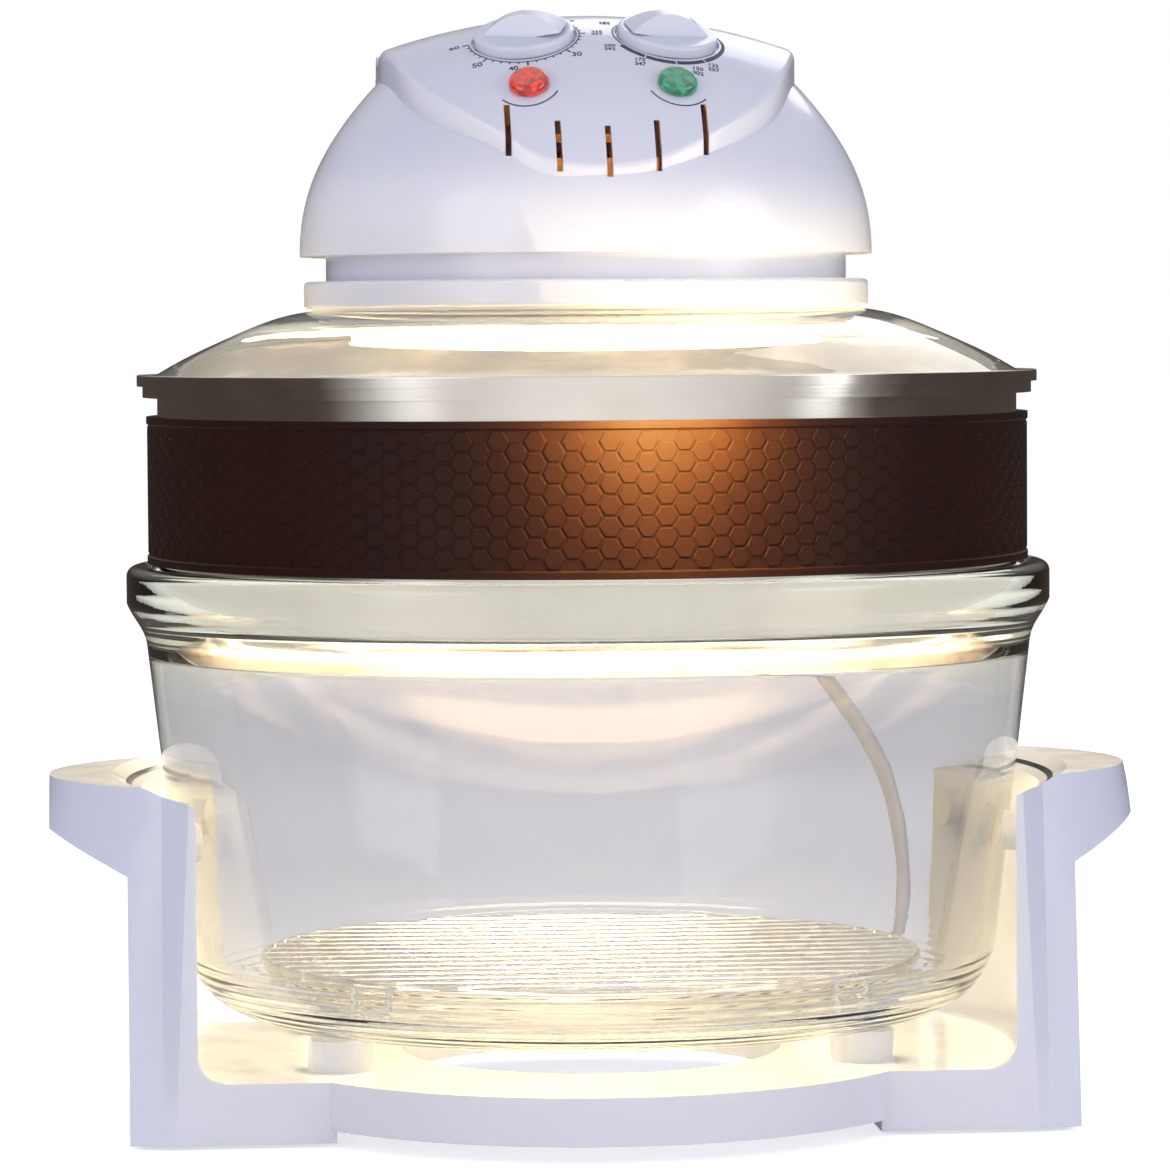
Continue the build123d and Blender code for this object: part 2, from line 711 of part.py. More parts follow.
with BuildPart() as head_shell:
    add(head_form(0))
    # ears for the carrying handle's pins
    for side in (-1, 1):
        with BuildSketch(Plane.YZ.offset(side * lug_inner)):
            with Locations((handle_pivot_y, handle_pivot_z)):
                Circle(lug_radius)
            with Locations((handle_pivot_y, handle_pivot_z - 10.0)):
                Rectangle(2 * lug_radius, 20.0)
        extrude(amount=side * (lug_outer - lug_inner))
    add(head_form(plastic_wall), mode=Mode.SUBTRACT)
    # seats for the two knobs and their controls
    for plane in knob_planes:
        with BuildSketch(plane.offset(-knob_recess - plastic_wall)):
            Circle(knob_recess_radius + 1.6)
        extrude(amount=plastic_wall)
        with BuildSketch(plane.offset(-knob_recess)):
            Circle(knob_recess_radius)
        extrude(amount=20.0, mode=Mode.SUBTRACT)
        with BuildSketch(plane.offset(-20.0)):
            Circle(shaft_hole_radius)
        extrude(amount=30.0, mode=Mode.SUBTRACT)
    for plane in lens_planes:
        with BuildSketch(plane.offset(-12.0)):
            Circle(lens_stem_radius + seat_clearance)
        extrude(amount=20.0, mode=Mode.SUBTRACT)
    # upright vent slots in the apron of the panel
    for x in slot_places:
        lift = slot_lift * (x / slot_places[-1]) ** 2
        height = slot_top_middle - slot_low_middle
        with BuildSketch(Plane.XZ.offset(math.sqrt(slot_inner_radius**2 - x**2))):
            with Locations((x, slot_low_middle + lift + height / 2)):
                Rectangle(slot_width, height)
        extrude(amount=40.0, mode=Mode.SUBTRACT)
    # pin holes
    with BuildSketch(Plane.YZ.offset(-panel_half_width - 5)):
        with Locations((handle_pivot_y, handle_pivot_z)):
            Circle(handle_pin_radius + bush_clearance)
    extrude(amount=2 * panel_half_width + 10, mode=Mode.SUBTRACT)
    # boss for the safety switch, with its plunger's hole, and the cord's hole
    with BuildSketch(Plane.XZ.offset(-switch_face)):
        with Locations((0, switch_z)):
            Rectangle(18.0, 13.0)
    extrude(amount=-5.5)
    with BuildSketch(Plane.XZ.offset(-switch_face)):
        with Locations((0, switch_z)):
            Circle(plunger_radius + 0.3)
    extrude(amount=-20.0, mode=Mode.SUBTRACT)
    with BuildSketch(gland.offset(90.0)):
        Circle(gland_hole_radius)
    extrude(amount=20.0, mode=Mode.SUBTRACT)
head_shell.part.label = "head_shell"
export_step(head_shell.part, "parts/head_shell.step")

# ---------------------------------------------------------------- controls

knob_names = ("timer_knob", "thermostat_knob")
shaft_names = ("timer_shaft", "thermostat_shaft")
control_names = ("timer_body", "thermostat_body")
control_radii = (19.0, 15.0)
control_depths = (22.0, 16.0)
control_face = -knob_recess - plastic_wall        # the controls sit against the seats
knob_low = -knob_recess + knob_gap
shaft_top = knob_low + knob_skirt + 5.0
shaft_bottom = control_face - 8.0


def knob_grip(plane):
    """Upright wedge with an arched, rounded top, right across the knob."""
    low = knob_low + knob_skirt - 1.0
    top = knob_low + knob_skirt + grip_height
    with BuildPart() as grip:
        with BuildSketch(Plane(origin=plane.origin, x_dir=plane.x_dir, z_dir=-plane.y_dir)):
            with BuildLine():
                Line((-grip_length / 2, low), (grip_length / 2, low))
                ThreePointArc((grip_length / 2, low), (0, top), (-grip_length / 2, low))
            make_face()
        extrude(amount=grip_foot, both=True)
        with BuildSketch(Plane(origin=plane.origin, x_dir=plane.y_dir, z_dir=plane.x_dir)):
            with BuildLine():
                Polyline((-grip_foot / 2, low), (grip_foot / 2, low), (grip_crest / 2, top),
                         (-grip_crest / 2, top), close=True)
            make_face()
        extrude(amount=grip_length, both=True, mode=Mode.INTERSECT)
        upper = grip.edges().sort_by(Axis((0, 0, 0), plane.z_dir))[-2:]
        fillet(upper, 1.8)
    return grip.part


for name, plane, turn in zip(knob_names, knob_planes, grip_turns):
    with BuildPart() as knob:
        with BuildSketch(plane.offset(knob_low)):
            Circle(knob_radius)
        extrude(amount=knob_skirt)
        fillet(knob.edges().group_by(Axis((0, 0, 0), plane.z_dir))[-1], 1.4)
        add(knob_grip(plane.rotated((0, 0, turn))))
        with BuildSketch(plane.offset(knob_low)):
            Circle(control_shaft_radius + seat_clearance)
        extrude(amount=shaft_top - knob_low, mode=Mode.SUBTRACT)
    knob.part.label = name
    export_step(knob.part, f"parts/{name}.step")

for name, plane in zip(shaft_names, knob_planes):
    with BuildPart() as shaft:
        with BuildSketch(plane.offset(shaft_bottom)):
            Circle(control_shaft_radius)
        extrude(amount=shaft_top - shaft_bottom)
    shaft.part.label = name
    export_step(shaft.part, f"parts/{name}.step")

for name, plane, radius, depth in zip(control_names, knob_planes, control_radii, control_depths):
    with BuildPart() as body:
        with BuildSketch(plane.offset(control_face - depth)):
            Circle(radius)
        extrude(amount=depth)
        fillet(body.edges().group_by(Axis((0, 0, 0), plane.z_dir))[0], 2.0)
        with BuildSketch(plane.offset(shaft_bottom - 1.0)):
            Circle(control_shaft_radius + bush_clearance)
        extrude(amount=control_face - shaft_bottom + 1.0, mode=Mode.SUBTRACT)
        # two terminals on the back
        with BuildSketch(plane.offset(control_face - depth - 7.0)):
            with Locations((-6.0, 0), (6.0, 0)):
                Rectangle(0.8, 6.3)
        extrude(amount=7.5)
    body.part.label = name
    export_step(body.part, f"parts/{name}.step")

lens_names = ("power_lens", "heat_lens")
for name, plane in zip(lens_names, lens_planes):
    with BuildPart() as lens:
        # domed head over a stem that holds the neon lamp
        with BuildSketch(plane.offset(0.3)):
            Circle(lens_radius)
        extrude(amount=lens_dome)
        fillet(lens.edges().group_by(Axis((0, 0, 0), plane.z_dir))[-1], lens_dome - 0.7)
        with BuildSketch(plane.offset(-lens_stem_length)):
            Circle(lens_stem_radius)
        extrude(amount=lens_stem_length + 0.5)
        with BuildSketch(plane.offset(-lens_stem_length)):
            Circle(neon_radius + seat_clearance)
        extrude(amount=neon_seat, mode=Mode.SUBTRACT)
    lens.part.label = name
    export_step(lens.part, f"parts/{name}.step")

with BuildPart() as neon_lamps:
    for plane in lens_planes:
        with BuildSketch(plane.offset(-lens_stem_length - 4.0)):
            Circle(neon_radius)
        extrude(amount=neon_seat + 4.0)
neon_lamps.part.label = "neon_lamps"
export_step(neon_lamps.part, "parts/neon_lamps.step")

# ---------------------------------------------------------------- carrying handle and switch

pivot = Vector(0, handle_pivot_y, handle_pivot_z)
reach = Vector(0, handle_grip_y, handle_grip_z) - pivot
handle_length = reach.length
handle_plane = Plane(origin=pivot, x_dir=(1, 0, 0), z_dir=(0, -reach.Z, reach.Y))
arm_width = handle_arm_outer - handle_arm_inner
arm_places = (-handle_arm_outer, handle_arm_inner)

with BuildPart() as carry_handle:
    # two arms and a thicker grip, bent in one U
    grip_far = handle_length + handle_grip_width / 2
    grip_near = handle_length - handle_grip_width / 2
    with BuildSketch(handle_plane.offset(-handle_thickness / 2)) as bail:
        with Locations((0, grip_far / 2)):
            Rectangle(2 * handle_arm_outer, grip_far)
        with Locations((0, grip_near / 2)):
            Rectangle(2 * handle_arm_inner, grip_near, mode=Mode.SUBTRACT)
        fillet(bail.vertices().group_by(Axis.Y)[-1], 12.0)
    extrude(amount=handle_thickness)
    with BuildSketch(handle_plane.offset(-grip_thickness / 2)):
        with Locations((0, handle_length)):
            RectangleRounded(2 * handle_arm_inner - 14.0, handle_grip_width, 4.0)
    extrude(amount=grip_thickness)
    for start in arm_places:
        with BuildSketch(Plane.YZ.offset(start)):
            with Locations((handle_pivot_y, handle_pivot_z)):
                Circle(handle_eye_radius)
        extrude(amount=arm_width)
    with BuildSketch(Plane.YZ.offset(-handle_arm_outer - 1)):
        with Locations((handle_pivot_y, handle_pivot_z)):
            Circle(handle_pin_radius + bush_clearance)
    extrude(amount=2 * handle_arm_outer + 2, mode=Mode.SUBTRACT)
carry_handle.part.label = "carry_handle"
export_step(carry_handle.part, "parts/carry_handle.step")

with BuildPart() as handle_pins:
    for side in (-1, 1):
        with BuildSketch(Plane.YZ.offset(side * (handle_arm_inner - 1.0))):
            with Locations((handle_pivot_y, handle_pivot_z)):
                Circle(handle_pin_radius)
        extrude(amount=side * (lug_outer - handle_arm_inner + 1.0))
handle_pins.part.label = "handle_pins"
export_step(handle_pins.part, "parts/handle_pins.step")

with BuildPart() as safety_switch:
    with BuildSketch(Plane.XZ.offset(-switch_face)):
        with Locations((0, switch_z)):
            Rectangle(20.0, 11.0)
    extrude(amount=switch_depth)
    with BuildSketch(Plane.XZ.offset(-switch_face)):
        with Locations((0, switch_z)):
            Circle(plunger_radius + 0.3)
    extrude(amount=plunger_length - plunger_tip + switch_face + 1.0, mode=Mode.SUBTRACT)
    with BuildSketch(Plane.XZ.offset(-switch_face + switch_depth)):
        with Locations((-6.0, switch_z), (6.0, switch_z)):
            Rectangle(0.8, 6.3)
    extrude(amount=7.0)
safety_switch.part.label = "safety_switch"
export_step(safety_switch.part, "parts/safety_switch.step")

with BuildPart() as switch_plunger:
    with BuildSketch(Plane.XZ.offset(-plunger_tip)):
        with Locations((0, switch_z)):
            Circle(plunger_radius)
    extrude(amount=plunger_length)
    fillet(switch_plunger.edges().group_by(Axis.Y)[-1], 1.2)
switch_plunger.part.label = "switch_plunger"
export_step(switch_plunger.part, "parts/switch_plunger.step")

# ---------------------------------------------------------------- motor and fans

bracket_top = motor_core_low
bracket_leg = cooling_fan_radius + 7.0
bush_outer = 5.5

with BuildPart() as motor_bracket:
    # bridge over the cooling fan, with a bush for the shaft
    with BuildSketch(Plane.XZ.offset(-motor_bracket_depth / 2)):
        with BuildLine():
            Polyline((-bracket_leg - 9.0, floor_top), (-bracket_leg, floor_top),
                     (-bracket_leg, bracket_top - motor_plate), (bracket_leg, bracket_top - motor_plate),
                     (bracket_leg, floor_top), (bracket_leg + 9.0, floor_top),
                     (bracket_leg + 9.0, floor_top + motor_plate),
                     (bracket_leg + motor_plate, floor_top + motor_plate),
                     (bracket_leg + motor_plate, bracket_top), (-bracket_leg - motor_plate, bracket_top),
                     (-bracket_leg - motor_plate, floor_top + motor_plate),
                     (-bracket_leg - 9.0, floor_top + motor_plate), close=True)
        make_face()
    extrude(amount=motor_bracket_depth)
    with BuildSketch(Plane.XY.offset(bracket_top - motor_plate - 3.0)):
        Circle(bush_outer)
    extrude(amount=3.0 + motor_plate)
    with BuildSketch(Plane.XY.offset(bracket_top - 10.0)):
        Circle(shaft_radius + bush_clearance)
    extrude(amount=12.0, mode=Mode.SUBTRACT)
motor_bracket.part.label = "motor_bracket"
export_step(motor_bracket.part, "parts/motor_bracket.step")

core_top = motor_core_low + motor_core_thickness
with BuildPart() as motor_stator:
    # laminated core with a round bore and a window for the coil
    with BuildSketch(Plane.XY.offset(motor_core_low)):
        with Locations((0, -motor_core / 2)):
            Rectangle(motor_core, motor_core + coil_window + core_limb, align=(Align.CENTER, Align.MIN))
        Circle(rotor_radius + rotor_gap, mode=Mode.SUBTRACT)
        with Locations((0, motor_core / 2)):
            Rectangle(motor_core - 2 * core_limb, coil_window, align=(Align.CENTER, Align.MIN),
                      mode=Mode.SUBTRACT)
    extrude(amount=motor_core_thickness)
    # upper bearing bridge
    with BuildSketch(Plane.XY.offset(core_top)):
        with Locations((-motor_core / 2 + 4.0, 0), (motor_core / 2 - 4.0, 0)):
            Rectangle(8.0, 12.0)
    extrude(amount=8.0)
    with BuildSketch(Plane.XY.offset(core_top + 6.0)):
        Rectangle(motor_core, 12.0)
    extrude(amount=3.0)
    with BuildSketch(Plane.XY.offset(core_top + 5.0)):
        Circle(shaft_radius + bush_clearance)
    extrude(amount=6.0, mode=Mode.SUBTRACT)
motor_stator.part.label = "motor_stator"
export_step(motor_stator.part, "parts/motor_stator.step")

limb_y = motor_core / 2 + coil_window + core_limb / 2
with BuildPart() as motor_coil:
    with BuildSketch(Plane.YZ.offset(-coil_length / 2)):
        with Locations((limb_y, motor_core_low + motor_core_thickness / 2)):
            RectangleRounded(core_limb + 6.0, motor_core_thickness + 8.0, 2.5)
            Rectangle(core_limb + 0.4, motor_core_thickness + 0.4, mode=Mode.SUBTRACT)
    extrude(amount=coil_length)
motor_coil.part.label = "motor_coil"
export_step(motor_coil.part, "parts/motor_coil.step")

with BuildPart() as rotor:
    # shaft with its rotor; it carries both fans
    with BuildSketch(Plane.XY.offset(fan_low - 1.0)):
        Circle(shaft_radius)
    extrude(amount=core_top + 13.0 - fan_low)
    with BuildSketch(Plane.XY.offset(motor_core_low + 1.0)):
        Circle(rotor_radius)
    extrude(amount=motor_core_thickness - 2.0)
rotor.part.label = "rotor"
export_step(rotor.part, "parts/rotor.step")


def fan(radius, low, height, blades, hub, disc):
    """Radial blades on a thin disc, with a hub pressed on the shaft."""
    with BuildPart() as wheel:
        with BuildSketch(Plane.XY.offset(low + height - disc)):
            Circle(radius)
        extrude(amount=disc)
        with BuildSketch(Plane.XY.offset(low)):
            Circle(hub)
        extrude(amount=height)
        with BuildSketch(Plane.XY.offset(low)):
            with PolarLocations(0, blades):
                with Locations(Location(((hub + radius) / 2 - 1.0, 0, 0), 18.0)):
                    Rectangle(radius - hub, 1.2)
            Circle(radius, mode=Mode.INTERSECT)
        extrude(amount=height - disc / 2)
        with BuildSketch(Plane.XY.offset(low - 1.0)):
            Circle(shaft_radius + seat_clearance / 2)
        extrude(amount=height + 2.0, mode=Mode.SUBTRACT)
    return wheel.part


with BuildPart() as convection_fan:
    add(fan(fan_radius, fan_low, fan_height, fan_blades, 7.0, 1.0))
convection_fan.part.label = "convection_fan"
export_step(convection_fan.part, "parts/convection_fan.step")

with BuildPart() as cooling_fan:
    add(fan(cooling_fan_radius, cooling_fan_low, cooling_fan_height, 10, 6.0, 1.2))
cooling_fan.part.label = "cooling_fan"
export_step(cooling_fan.part, "parts/cooling_fan.step")

with BuildPart() as terminal_block:
    with BuildSketch(Plane.XY.offset(floor_top)):
        with Locations((-36.0, 62.0)):
            Rectangle(30.0, 14.0)
    extrude(amount=12.0)
    with BuildSketch(Plane.XY.offset(floor_top + 12.0)):
        with Locations(*[(-46.0 + 10.0 * number, 62.0) for number in range(3)]):
            Circle(2.2)
    extrude(amount=-5.0, mode=Mode.SUBTRACT)
terminal_block.part.label = "terminal_block"
export_step(terminal_block.part, "parts/terminal_block.step")

# ---------------------------------------------------------------- cord and plug

cord_radius = 3.5
gland_low = 94.0
gland_flange = 104.0
gland_tip = 120.0
gland_tip_radius = 5.0

with BuildPart() as strain_relief:
    # ribbed sleeve that stands out of the dome, with a flange against its wall
    with BuildSketch(gland.offset(gland_low)):
        Circle(gland_hole_radius - seat_clearance)
    extrude(amount=gland_flange - gland_low)
    with BuildSketch(gland.offset(gland_flange - 1.0)):
        Circle(7.5)
    extrude(amount=2.0)
    with BuildSketch(gland.offset(gland_flange)):
        Circle(gland_hole_radius + 0.6)
    with BuildSketch(gland.offset(gland_tip)):
        Circle(gland_tip_radius)
    loft()
strain_relief.part.label = "strain_relief"
export_step(strain_relief.part, "parts/strain_relief.step")

# the cord's middle line, from the strain relief down to the coil on the table
coil_centre = (95.5, 217.0)
coil_mean_radius = 40.0
coil_half_width = 7.3
coil_low = 0.3
coil_height = 14.2
cord_start = gland.offset(gland_tip).origin
cord_second = gland.offset(gland_tip + 24.0).origin
cord_route = [
    (cord_start.X, cord_start.Y, cord_start.Z),
    (cord_second.X, cord_second.Y, cord_second.Z), (60.0, 161.0, 305.0), (68.5, 182.0, 282.0),
    (75.5, 193.0, 253.0),
    (83.0, 197.5, 222.0), (93.0, 197.0, 192.0), (106.5, 193.5, 166.0), (121.5, 190.0, 143.5),
    (136.0, 187.5, 122.5), (146.0, 186.5, 98.0), (151.5, 187.0, 71.0), (152.5, 188.5, 48.0),
    (150.0, 193.5, 27.0), (144.0, 203.5, 12.5), (coil_centre[0] + coil_mean_radius, 219.0, 7.4),
]


def bend_radii(route):
    """The largest tangent arc that each corner's two runs allow."""
    radii = []
    for before, corner, after in zip(route, route[1:], route[2:]):
        run_in = Vector(*corner) - Vector(*before)
        run_out = Vector(*after) - Vector(*corner)
        turn = math.radians(run_in.get_angle(run_out))
        radii.append(0.45 * min(run_in.length, run_out.length) / math.tan(turn / 2))
    return radii


cord_bends = bend_radii(cord_route)
print("cord bend radii", [round(radius, 1) for radius in cord_bends])

with BuildPart() as power_cord:
    with BuildLine() as cord_line:
        cord_path = FilletPolyline(*cord_route, radius=cord_bends)
    with BuildSketch(cord_line.line ^ 0):
        Circle(cord_radius)
    sweep(path=cord_line.line)
power_cord.part.label = "power_cord"
export_step(power_cord.part, "parts/power_cord.step")
print("cord volume over section times length",
      round(power_cord.part.volume / (math.pi * cord_radius**2 * cord_path.length), 4), "length",
      round(cord_path.length, 1))

with BuildPart() as cord_coil:
    # outer form of the coiled rest of the cord, lying on the table
    with BuildSketch(Plane.XY.offset(coil_low)):
        with Locations(coil_centre):
            Circle(coil_mean_radius + coil_half_width)
            Circle(coil_mean_radius - coil_half_width, mode=Mode.SUBTRACT)
    extrude(amount=coil_height)
    fillet(cord_coil.edges().filter_by(GeomType.CIRCLE), 3.0)
cord_coil.part.label = "cord_coil"
export_step(cord_coil.part, "parts/cord_coil.step")

plug_y = coil_centre[1] + coil_mean_radius
plug_z = 7.9
plug_tail_x = 74.0
plug_back_x = 54.0
plug_front_x = 20.0
plug_width = 25.0
plug_height = 15.0
blade_spacing = 12.7
blade_length = 16.0

with BuildPart() as plug:
    # moulded tail, flat tapered body and two blades
    with BuildSketch(Plane(origin=(plug_tail_x, plug_y, plug_z), z_dir=(-1, 0, 0))):
        Circle(cord_radius + 0.8)
    with BuildSketch(Plane(origin=(plug_back_x, plug_y, plug_z), z_dir=(-1, 0, 0))):
        Circle(cord_radius + 2.6)
    loft()
    with BuildSketch(Plane.YZ.offset(plug_front_x)):
        with Locations((plug_y, plug_z)):
            RectangleRounded(plug_width, plug_height, 4.0)
    extrude(amount=plug_back_x - plug_front_x - 12.0)
    with BuildSketch(Plane.YZ.offset(plug_back_x - 12.0)):
        with Locations((plug_y, plug_z)):
            RectangleRounded(plug_width, plug_height, 4.0)
    with BuildSketch(Plane.YZ.offset(plug_back_x)):
        with Locations((plug_y, plug_z)):
            RectangleRounded(14.0, 12.4, 4.0)
    loft()
    with BuildSketch(Plane.YZ.offset(plug_front_x - blade_length)):
        with Locations((plug_y - blade_spacing / 2, plug_z), (plug_y + blade_spacing / 2, plug_z)):
            Rectangle(1.5, 6.3)
    extrude(amount=blade_length)
plug.part.label = "plug"
export_step(plug.part, "parts/plug.step")
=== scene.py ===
"""Halogen oven: finishes, dial print, hexagon sleeve, ringed glass, cord and studio."""
import json
import math

import bmesh
import bpy
from bpy.props import FloatProperty, FloatVectorProperty, IntProperty, PointerProperty
from mathutils import Matrix, Vector
from mathutils.geometry import interpolate_bezier

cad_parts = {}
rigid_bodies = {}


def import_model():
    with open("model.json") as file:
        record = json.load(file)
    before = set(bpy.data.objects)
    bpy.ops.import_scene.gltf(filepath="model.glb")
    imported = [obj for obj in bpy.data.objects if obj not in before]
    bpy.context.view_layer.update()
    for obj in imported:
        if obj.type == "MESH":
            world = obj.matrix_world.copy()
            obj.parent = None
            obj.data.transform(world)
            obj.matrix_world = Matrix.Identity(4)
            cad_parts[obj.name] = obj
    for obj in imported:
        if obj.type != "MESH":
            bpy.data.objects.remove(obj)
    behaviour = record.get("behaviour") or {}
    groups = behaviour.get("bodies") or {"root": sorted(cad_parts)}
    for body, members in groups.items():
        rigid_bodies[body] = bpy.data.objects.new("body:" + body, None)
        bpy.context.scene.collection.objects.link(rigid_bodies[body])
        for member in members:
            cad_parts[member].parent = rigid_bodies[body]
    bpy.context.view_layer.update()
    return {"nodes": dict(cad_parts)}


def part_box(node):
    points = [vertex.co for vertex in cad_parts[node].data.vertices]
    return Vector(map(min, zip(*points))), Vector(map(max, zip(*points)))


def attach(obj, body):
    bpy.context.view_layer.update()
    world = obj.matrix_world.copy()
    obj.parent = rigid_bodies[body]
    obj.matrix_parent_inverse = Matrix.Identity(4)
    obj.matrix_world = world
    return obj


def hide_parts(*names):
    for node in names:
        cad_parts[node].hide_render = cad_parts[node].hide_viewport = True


bl_info = {
    "name": "Halogen Oven",
    "version": (1, 0, 0),
    "blender": (4, 5, 0),
    "location": "View3D > Sidebar > Oven",
    "description": "Dresses the packed halogen oven and sets it in a plain studio",
    "category": "Object",
}

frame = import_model()
MM = 0.001


# -------------------- small helpers


def rgb(code, alpha=1.0):
    """Linear colour of an sRGB hex value."""
    parts = [int(code[i:i + 2], 16) / 255 for i in (1, 3, 5)]
    return (*[c / 12.92 if c <= 0.04045 else ((c + 0.055) / 1.055) ** 2.4 for c in parts], alpha)


def grain(size):
    """Texture scale for a feature of this many millimetres."""
    return 1000.0 / size


def add_node(tree, kind, wires=None, values=None, **settings):
    """One node: settings are its own, values fill its inputs and wires feed them."""
    node = tree.nodes.new(kind)
    for name, value in settings.items():
        setattr(node, name, value)
    for socket, value in (values or {}).items():
        node.inputs[socket].default_value = value
    for socket, output in (wires or {}).items():
        tree.links.new(output, node.inputs[socket])
    return node


def start_finish(name, colour, roughness, **sockets):
    """A material with one surface shader; returned with its tree, shader and coordinates."""
    finish = bpy.data.materials.new(name)
    finish.use_nodes = True
    finish.diffuse_color = (*colour[:3], 1.0)
    tree = finish.node_tree
    tree.nodes.clear()
    values = {"Base Color": colour, "Roughness": roughness}
    values.update({socket.replace("_", " "): value for socket, value in sockets.items()})
    shader = add_node(tree, "ShaderNodeBsdfPrincipled", values=values)
    add_node(tree, "ShaderNodeOutputMaterial", {"Surface": shader.outputs["BSDF"]}, name="Output")
    place = add_node(tree, "ShaderNodeTexCoord").outputs["Object"]
    return finish, tree, shader, place


def tone(tree, shader, pattern, dark, light, socket="Base Color"):
    """Runs a pattern from one colour to another, into one of a node's colours."""
    mix = add_node(tree, "ShaderNodeMix", {"Factor": pattern}, data_type="RGBA")
    mix.inputs[6].default_value, mix.inputs[7].default_value = dark, light
    tree.links.new(mix.outputs[2], shader.inputs[socket])


def spread(tree, pattern, low, high, start=0.3, end=0.7):
    """A pattern stretched between two values, such as two roughnesses."""
    ramp = add_node(tree, "ShaderNodeMapRange", {"Value": pattern},
                    {"From Min": start, "From Max": end, "To Min": low, "To Max": high})
    return ramp.outputs["Result"]


def relief(tree, shader, height, depth):
    """Turns a pattern into relief of this many millimetres."""
    bump = add_node(tree, "ShaderNodeBump", {"Height": height},
                    {"Strength": 1.0, "Distance": depth * MM})
    tree.links.new(bump.outputs["Normal"], shader.inputs["Normal"])


# -------------------- finishes


def moulded_abs():
    """White ABS out of a polished mould: gloss, faint orange peel, a cool white that drifts."""
    white = bpy.context.scene.oven_colours.plastic
    finish, tree, shader, place = start_finish(
        "white_ABS_moulded", (*white, 1.0), 0.22, IOR=1.53, Coat_Weight=0.35,
        Coat_Roughness=0.06, Subsurface_Weight=0.08, Subsurface_Scale=0.004,
        Subsurface_Radius=(1.0, 0.9, 1.0))
    drift = add_node(tree, "ShaderNodeTexNoise", {"Vector": place},
                     {"Scale": grain(90), "Detail": 1.0})
    shade = [c * 0.93 for c in white]
    tone(tree, shader, drift.outputs["Fac"], (*shade, 1.0), (*white, 1.0))
    peel = add_node(tree, "ShaderNodeTexNoise", {"Vector": place},
                    {"Scale": grain(3.2), "Detail": 2.0})
    relief(tree, shader, peel.outputs["Fac"], 0.012)
    wear = add_node(tree, "ShaderNodeTexNoise", {"Vector": place},
                    {"Scale": grain(18), "Detail": 4.0})
    tree.links.new(spread(tree, wear.outputs["Fac"], 0.17, 0.27), shader.inputs["Roughness"])
    return finish


def soft_rubber():
    """White silicone rubber, moulded: matt, slightly dusty."""
    finish, tree, shader, place = start_finish(
        "white_rubber_moulded", rgb("#d9dae0"), 0.62, IOR=1.43, Subsurface_Weight=0.1,
        Subsurface_Scale=0.003)
    dust = add_node(tree, "ShaderNodeTexNoise", {"Vector": place},
                    {"Scale": grain(1.5), "Detail": 3.0})
    tone(tree, shader, dust.outputs["Fac"], rgb("#cfd0d8"), rgb("#e2e2e6"))
    relief(tree, shader, dust.outputs["Fac"], 0.02)
    return finish


def pressed_glass(name, tint, glow_tint=None):
    """Borosilicate glass, pressed: a faint tint, yellow-green along the wall; a glow tint, if
    given, is painted lamp light by height.
    """
    finish, tree, shader, place = start_finish(
        name, tint, 0.0, IOR=1.474, Transmission_Weight=1.0)
    if glow_tint:
        # by height: painted light, paler above the neck and below the wall's foot, for the lamp's
        # glow there
        height = add_node(tree, "ShaderNodeSeparateXYZ", {"Vector": place}).outputs["Z"]
        ends = add_node(tree, "ShaderNodeMath", {
            0: spread(tree, height, 0.0, 1.0, start=150 * MM, end=175 * MM),
            1: spread(tree, height, 1.0, 0.0, start=30 * MM, end=80 * MM)}, operation="MAXIMUM")
        tone(tree, shader, ends.outputs["Value"], tint, glow_tint)
    # slow waves that pressing leaves, about 25 mm apart
    waves = add_node(tree, "ShaderNodeTexNoise", {"Vector": place},
                     {"Scale": grain(25), "Detail": 1.0})
    relief(tree, shader, waves.outputs["Fac"], 0.05)
    clear = add_node(tree, "ShaderNodeBsdfTransparent", values={"Color": rgb("#f6f8ee")})
    ray = add_node(tree, "ShaderNodeLightPath")
    pane = add_node(tree, "ShaderNodeMixShader", {
        0: ray.outputs["Is Shadow Ray"], 1: shader.outputs["BSDF"], 2: clear.outputs["BSDF"]})
    depth = bpy.context.scene.oven_colours.glass_depth
    body = add_node(tree, "ShaderNodeVolumeAbsorption",
                    values={"Color": rgb("#dfe6a0"), "Density": depth})
    out = tree.nodes["Output"]
    tree.links.new(pane.outputs["Shader"], out.inputs["Surface"])
    tree.links.new(body.outputs["Volume"], out.inputs["Volume"])
    return finish


def bowl_glass():
    """The bowl's glass: grey along the wall, paler at the rim and the bottom as painted light, for
    the lamp's glow there.
    """
    return pressed_glass("clear_borosilicate_bowl", rgb("#dddbde"), rgb("#f6f4f1"))


def lid_glass():
    """The lid's glass, a shade warmer."""
    return pressed_glass("clear_borosilicate_lid", rgb("#faf5ea"))


def polished_steel():
    """Stainless sheet, spun and polished: mirror with fine rings left by the polishing."""
    finish, tree, shader, place = start_finish(
        "stainless_sheet_polished", rgb("#dad6d2"), 0.14, Metallic=1.0, Anisotropic=0.35)
    split = add_node(tree, "ShaderNodeSeparateXYZ", {"Vector": place})
    height = add_node(tree, "ShaderNodeCombineXYZ", {"Z": split.outputs["Z"]})
    # polishing rings 0.3 mm apart are drawn at 0.9 mm, the finest that shows
    rings = add_node(tree, "ShaderNodeTexNoise", {"Vector": height.outputs["Vector"]},
                     {"Scale": grain(0.9), "Detail": 3.0})
    relief(tree, shader, rings.outputs["Fac"], 0.004)
    smears = add_node(tree, "ShaderNodeTexNoise", {"Vector": place},
                      {"Scale": grain(35), "Detail": 3.0})
    tree.links.new(spread(tree, smears.outputs["Fac"], 0.08, 0.2), shader.inputs["Roughness"])
    tone(tree, shader, smears.outputs["Fac"], rgb("#cec9c5"), rgb("#e8e5e2"))
    return finish


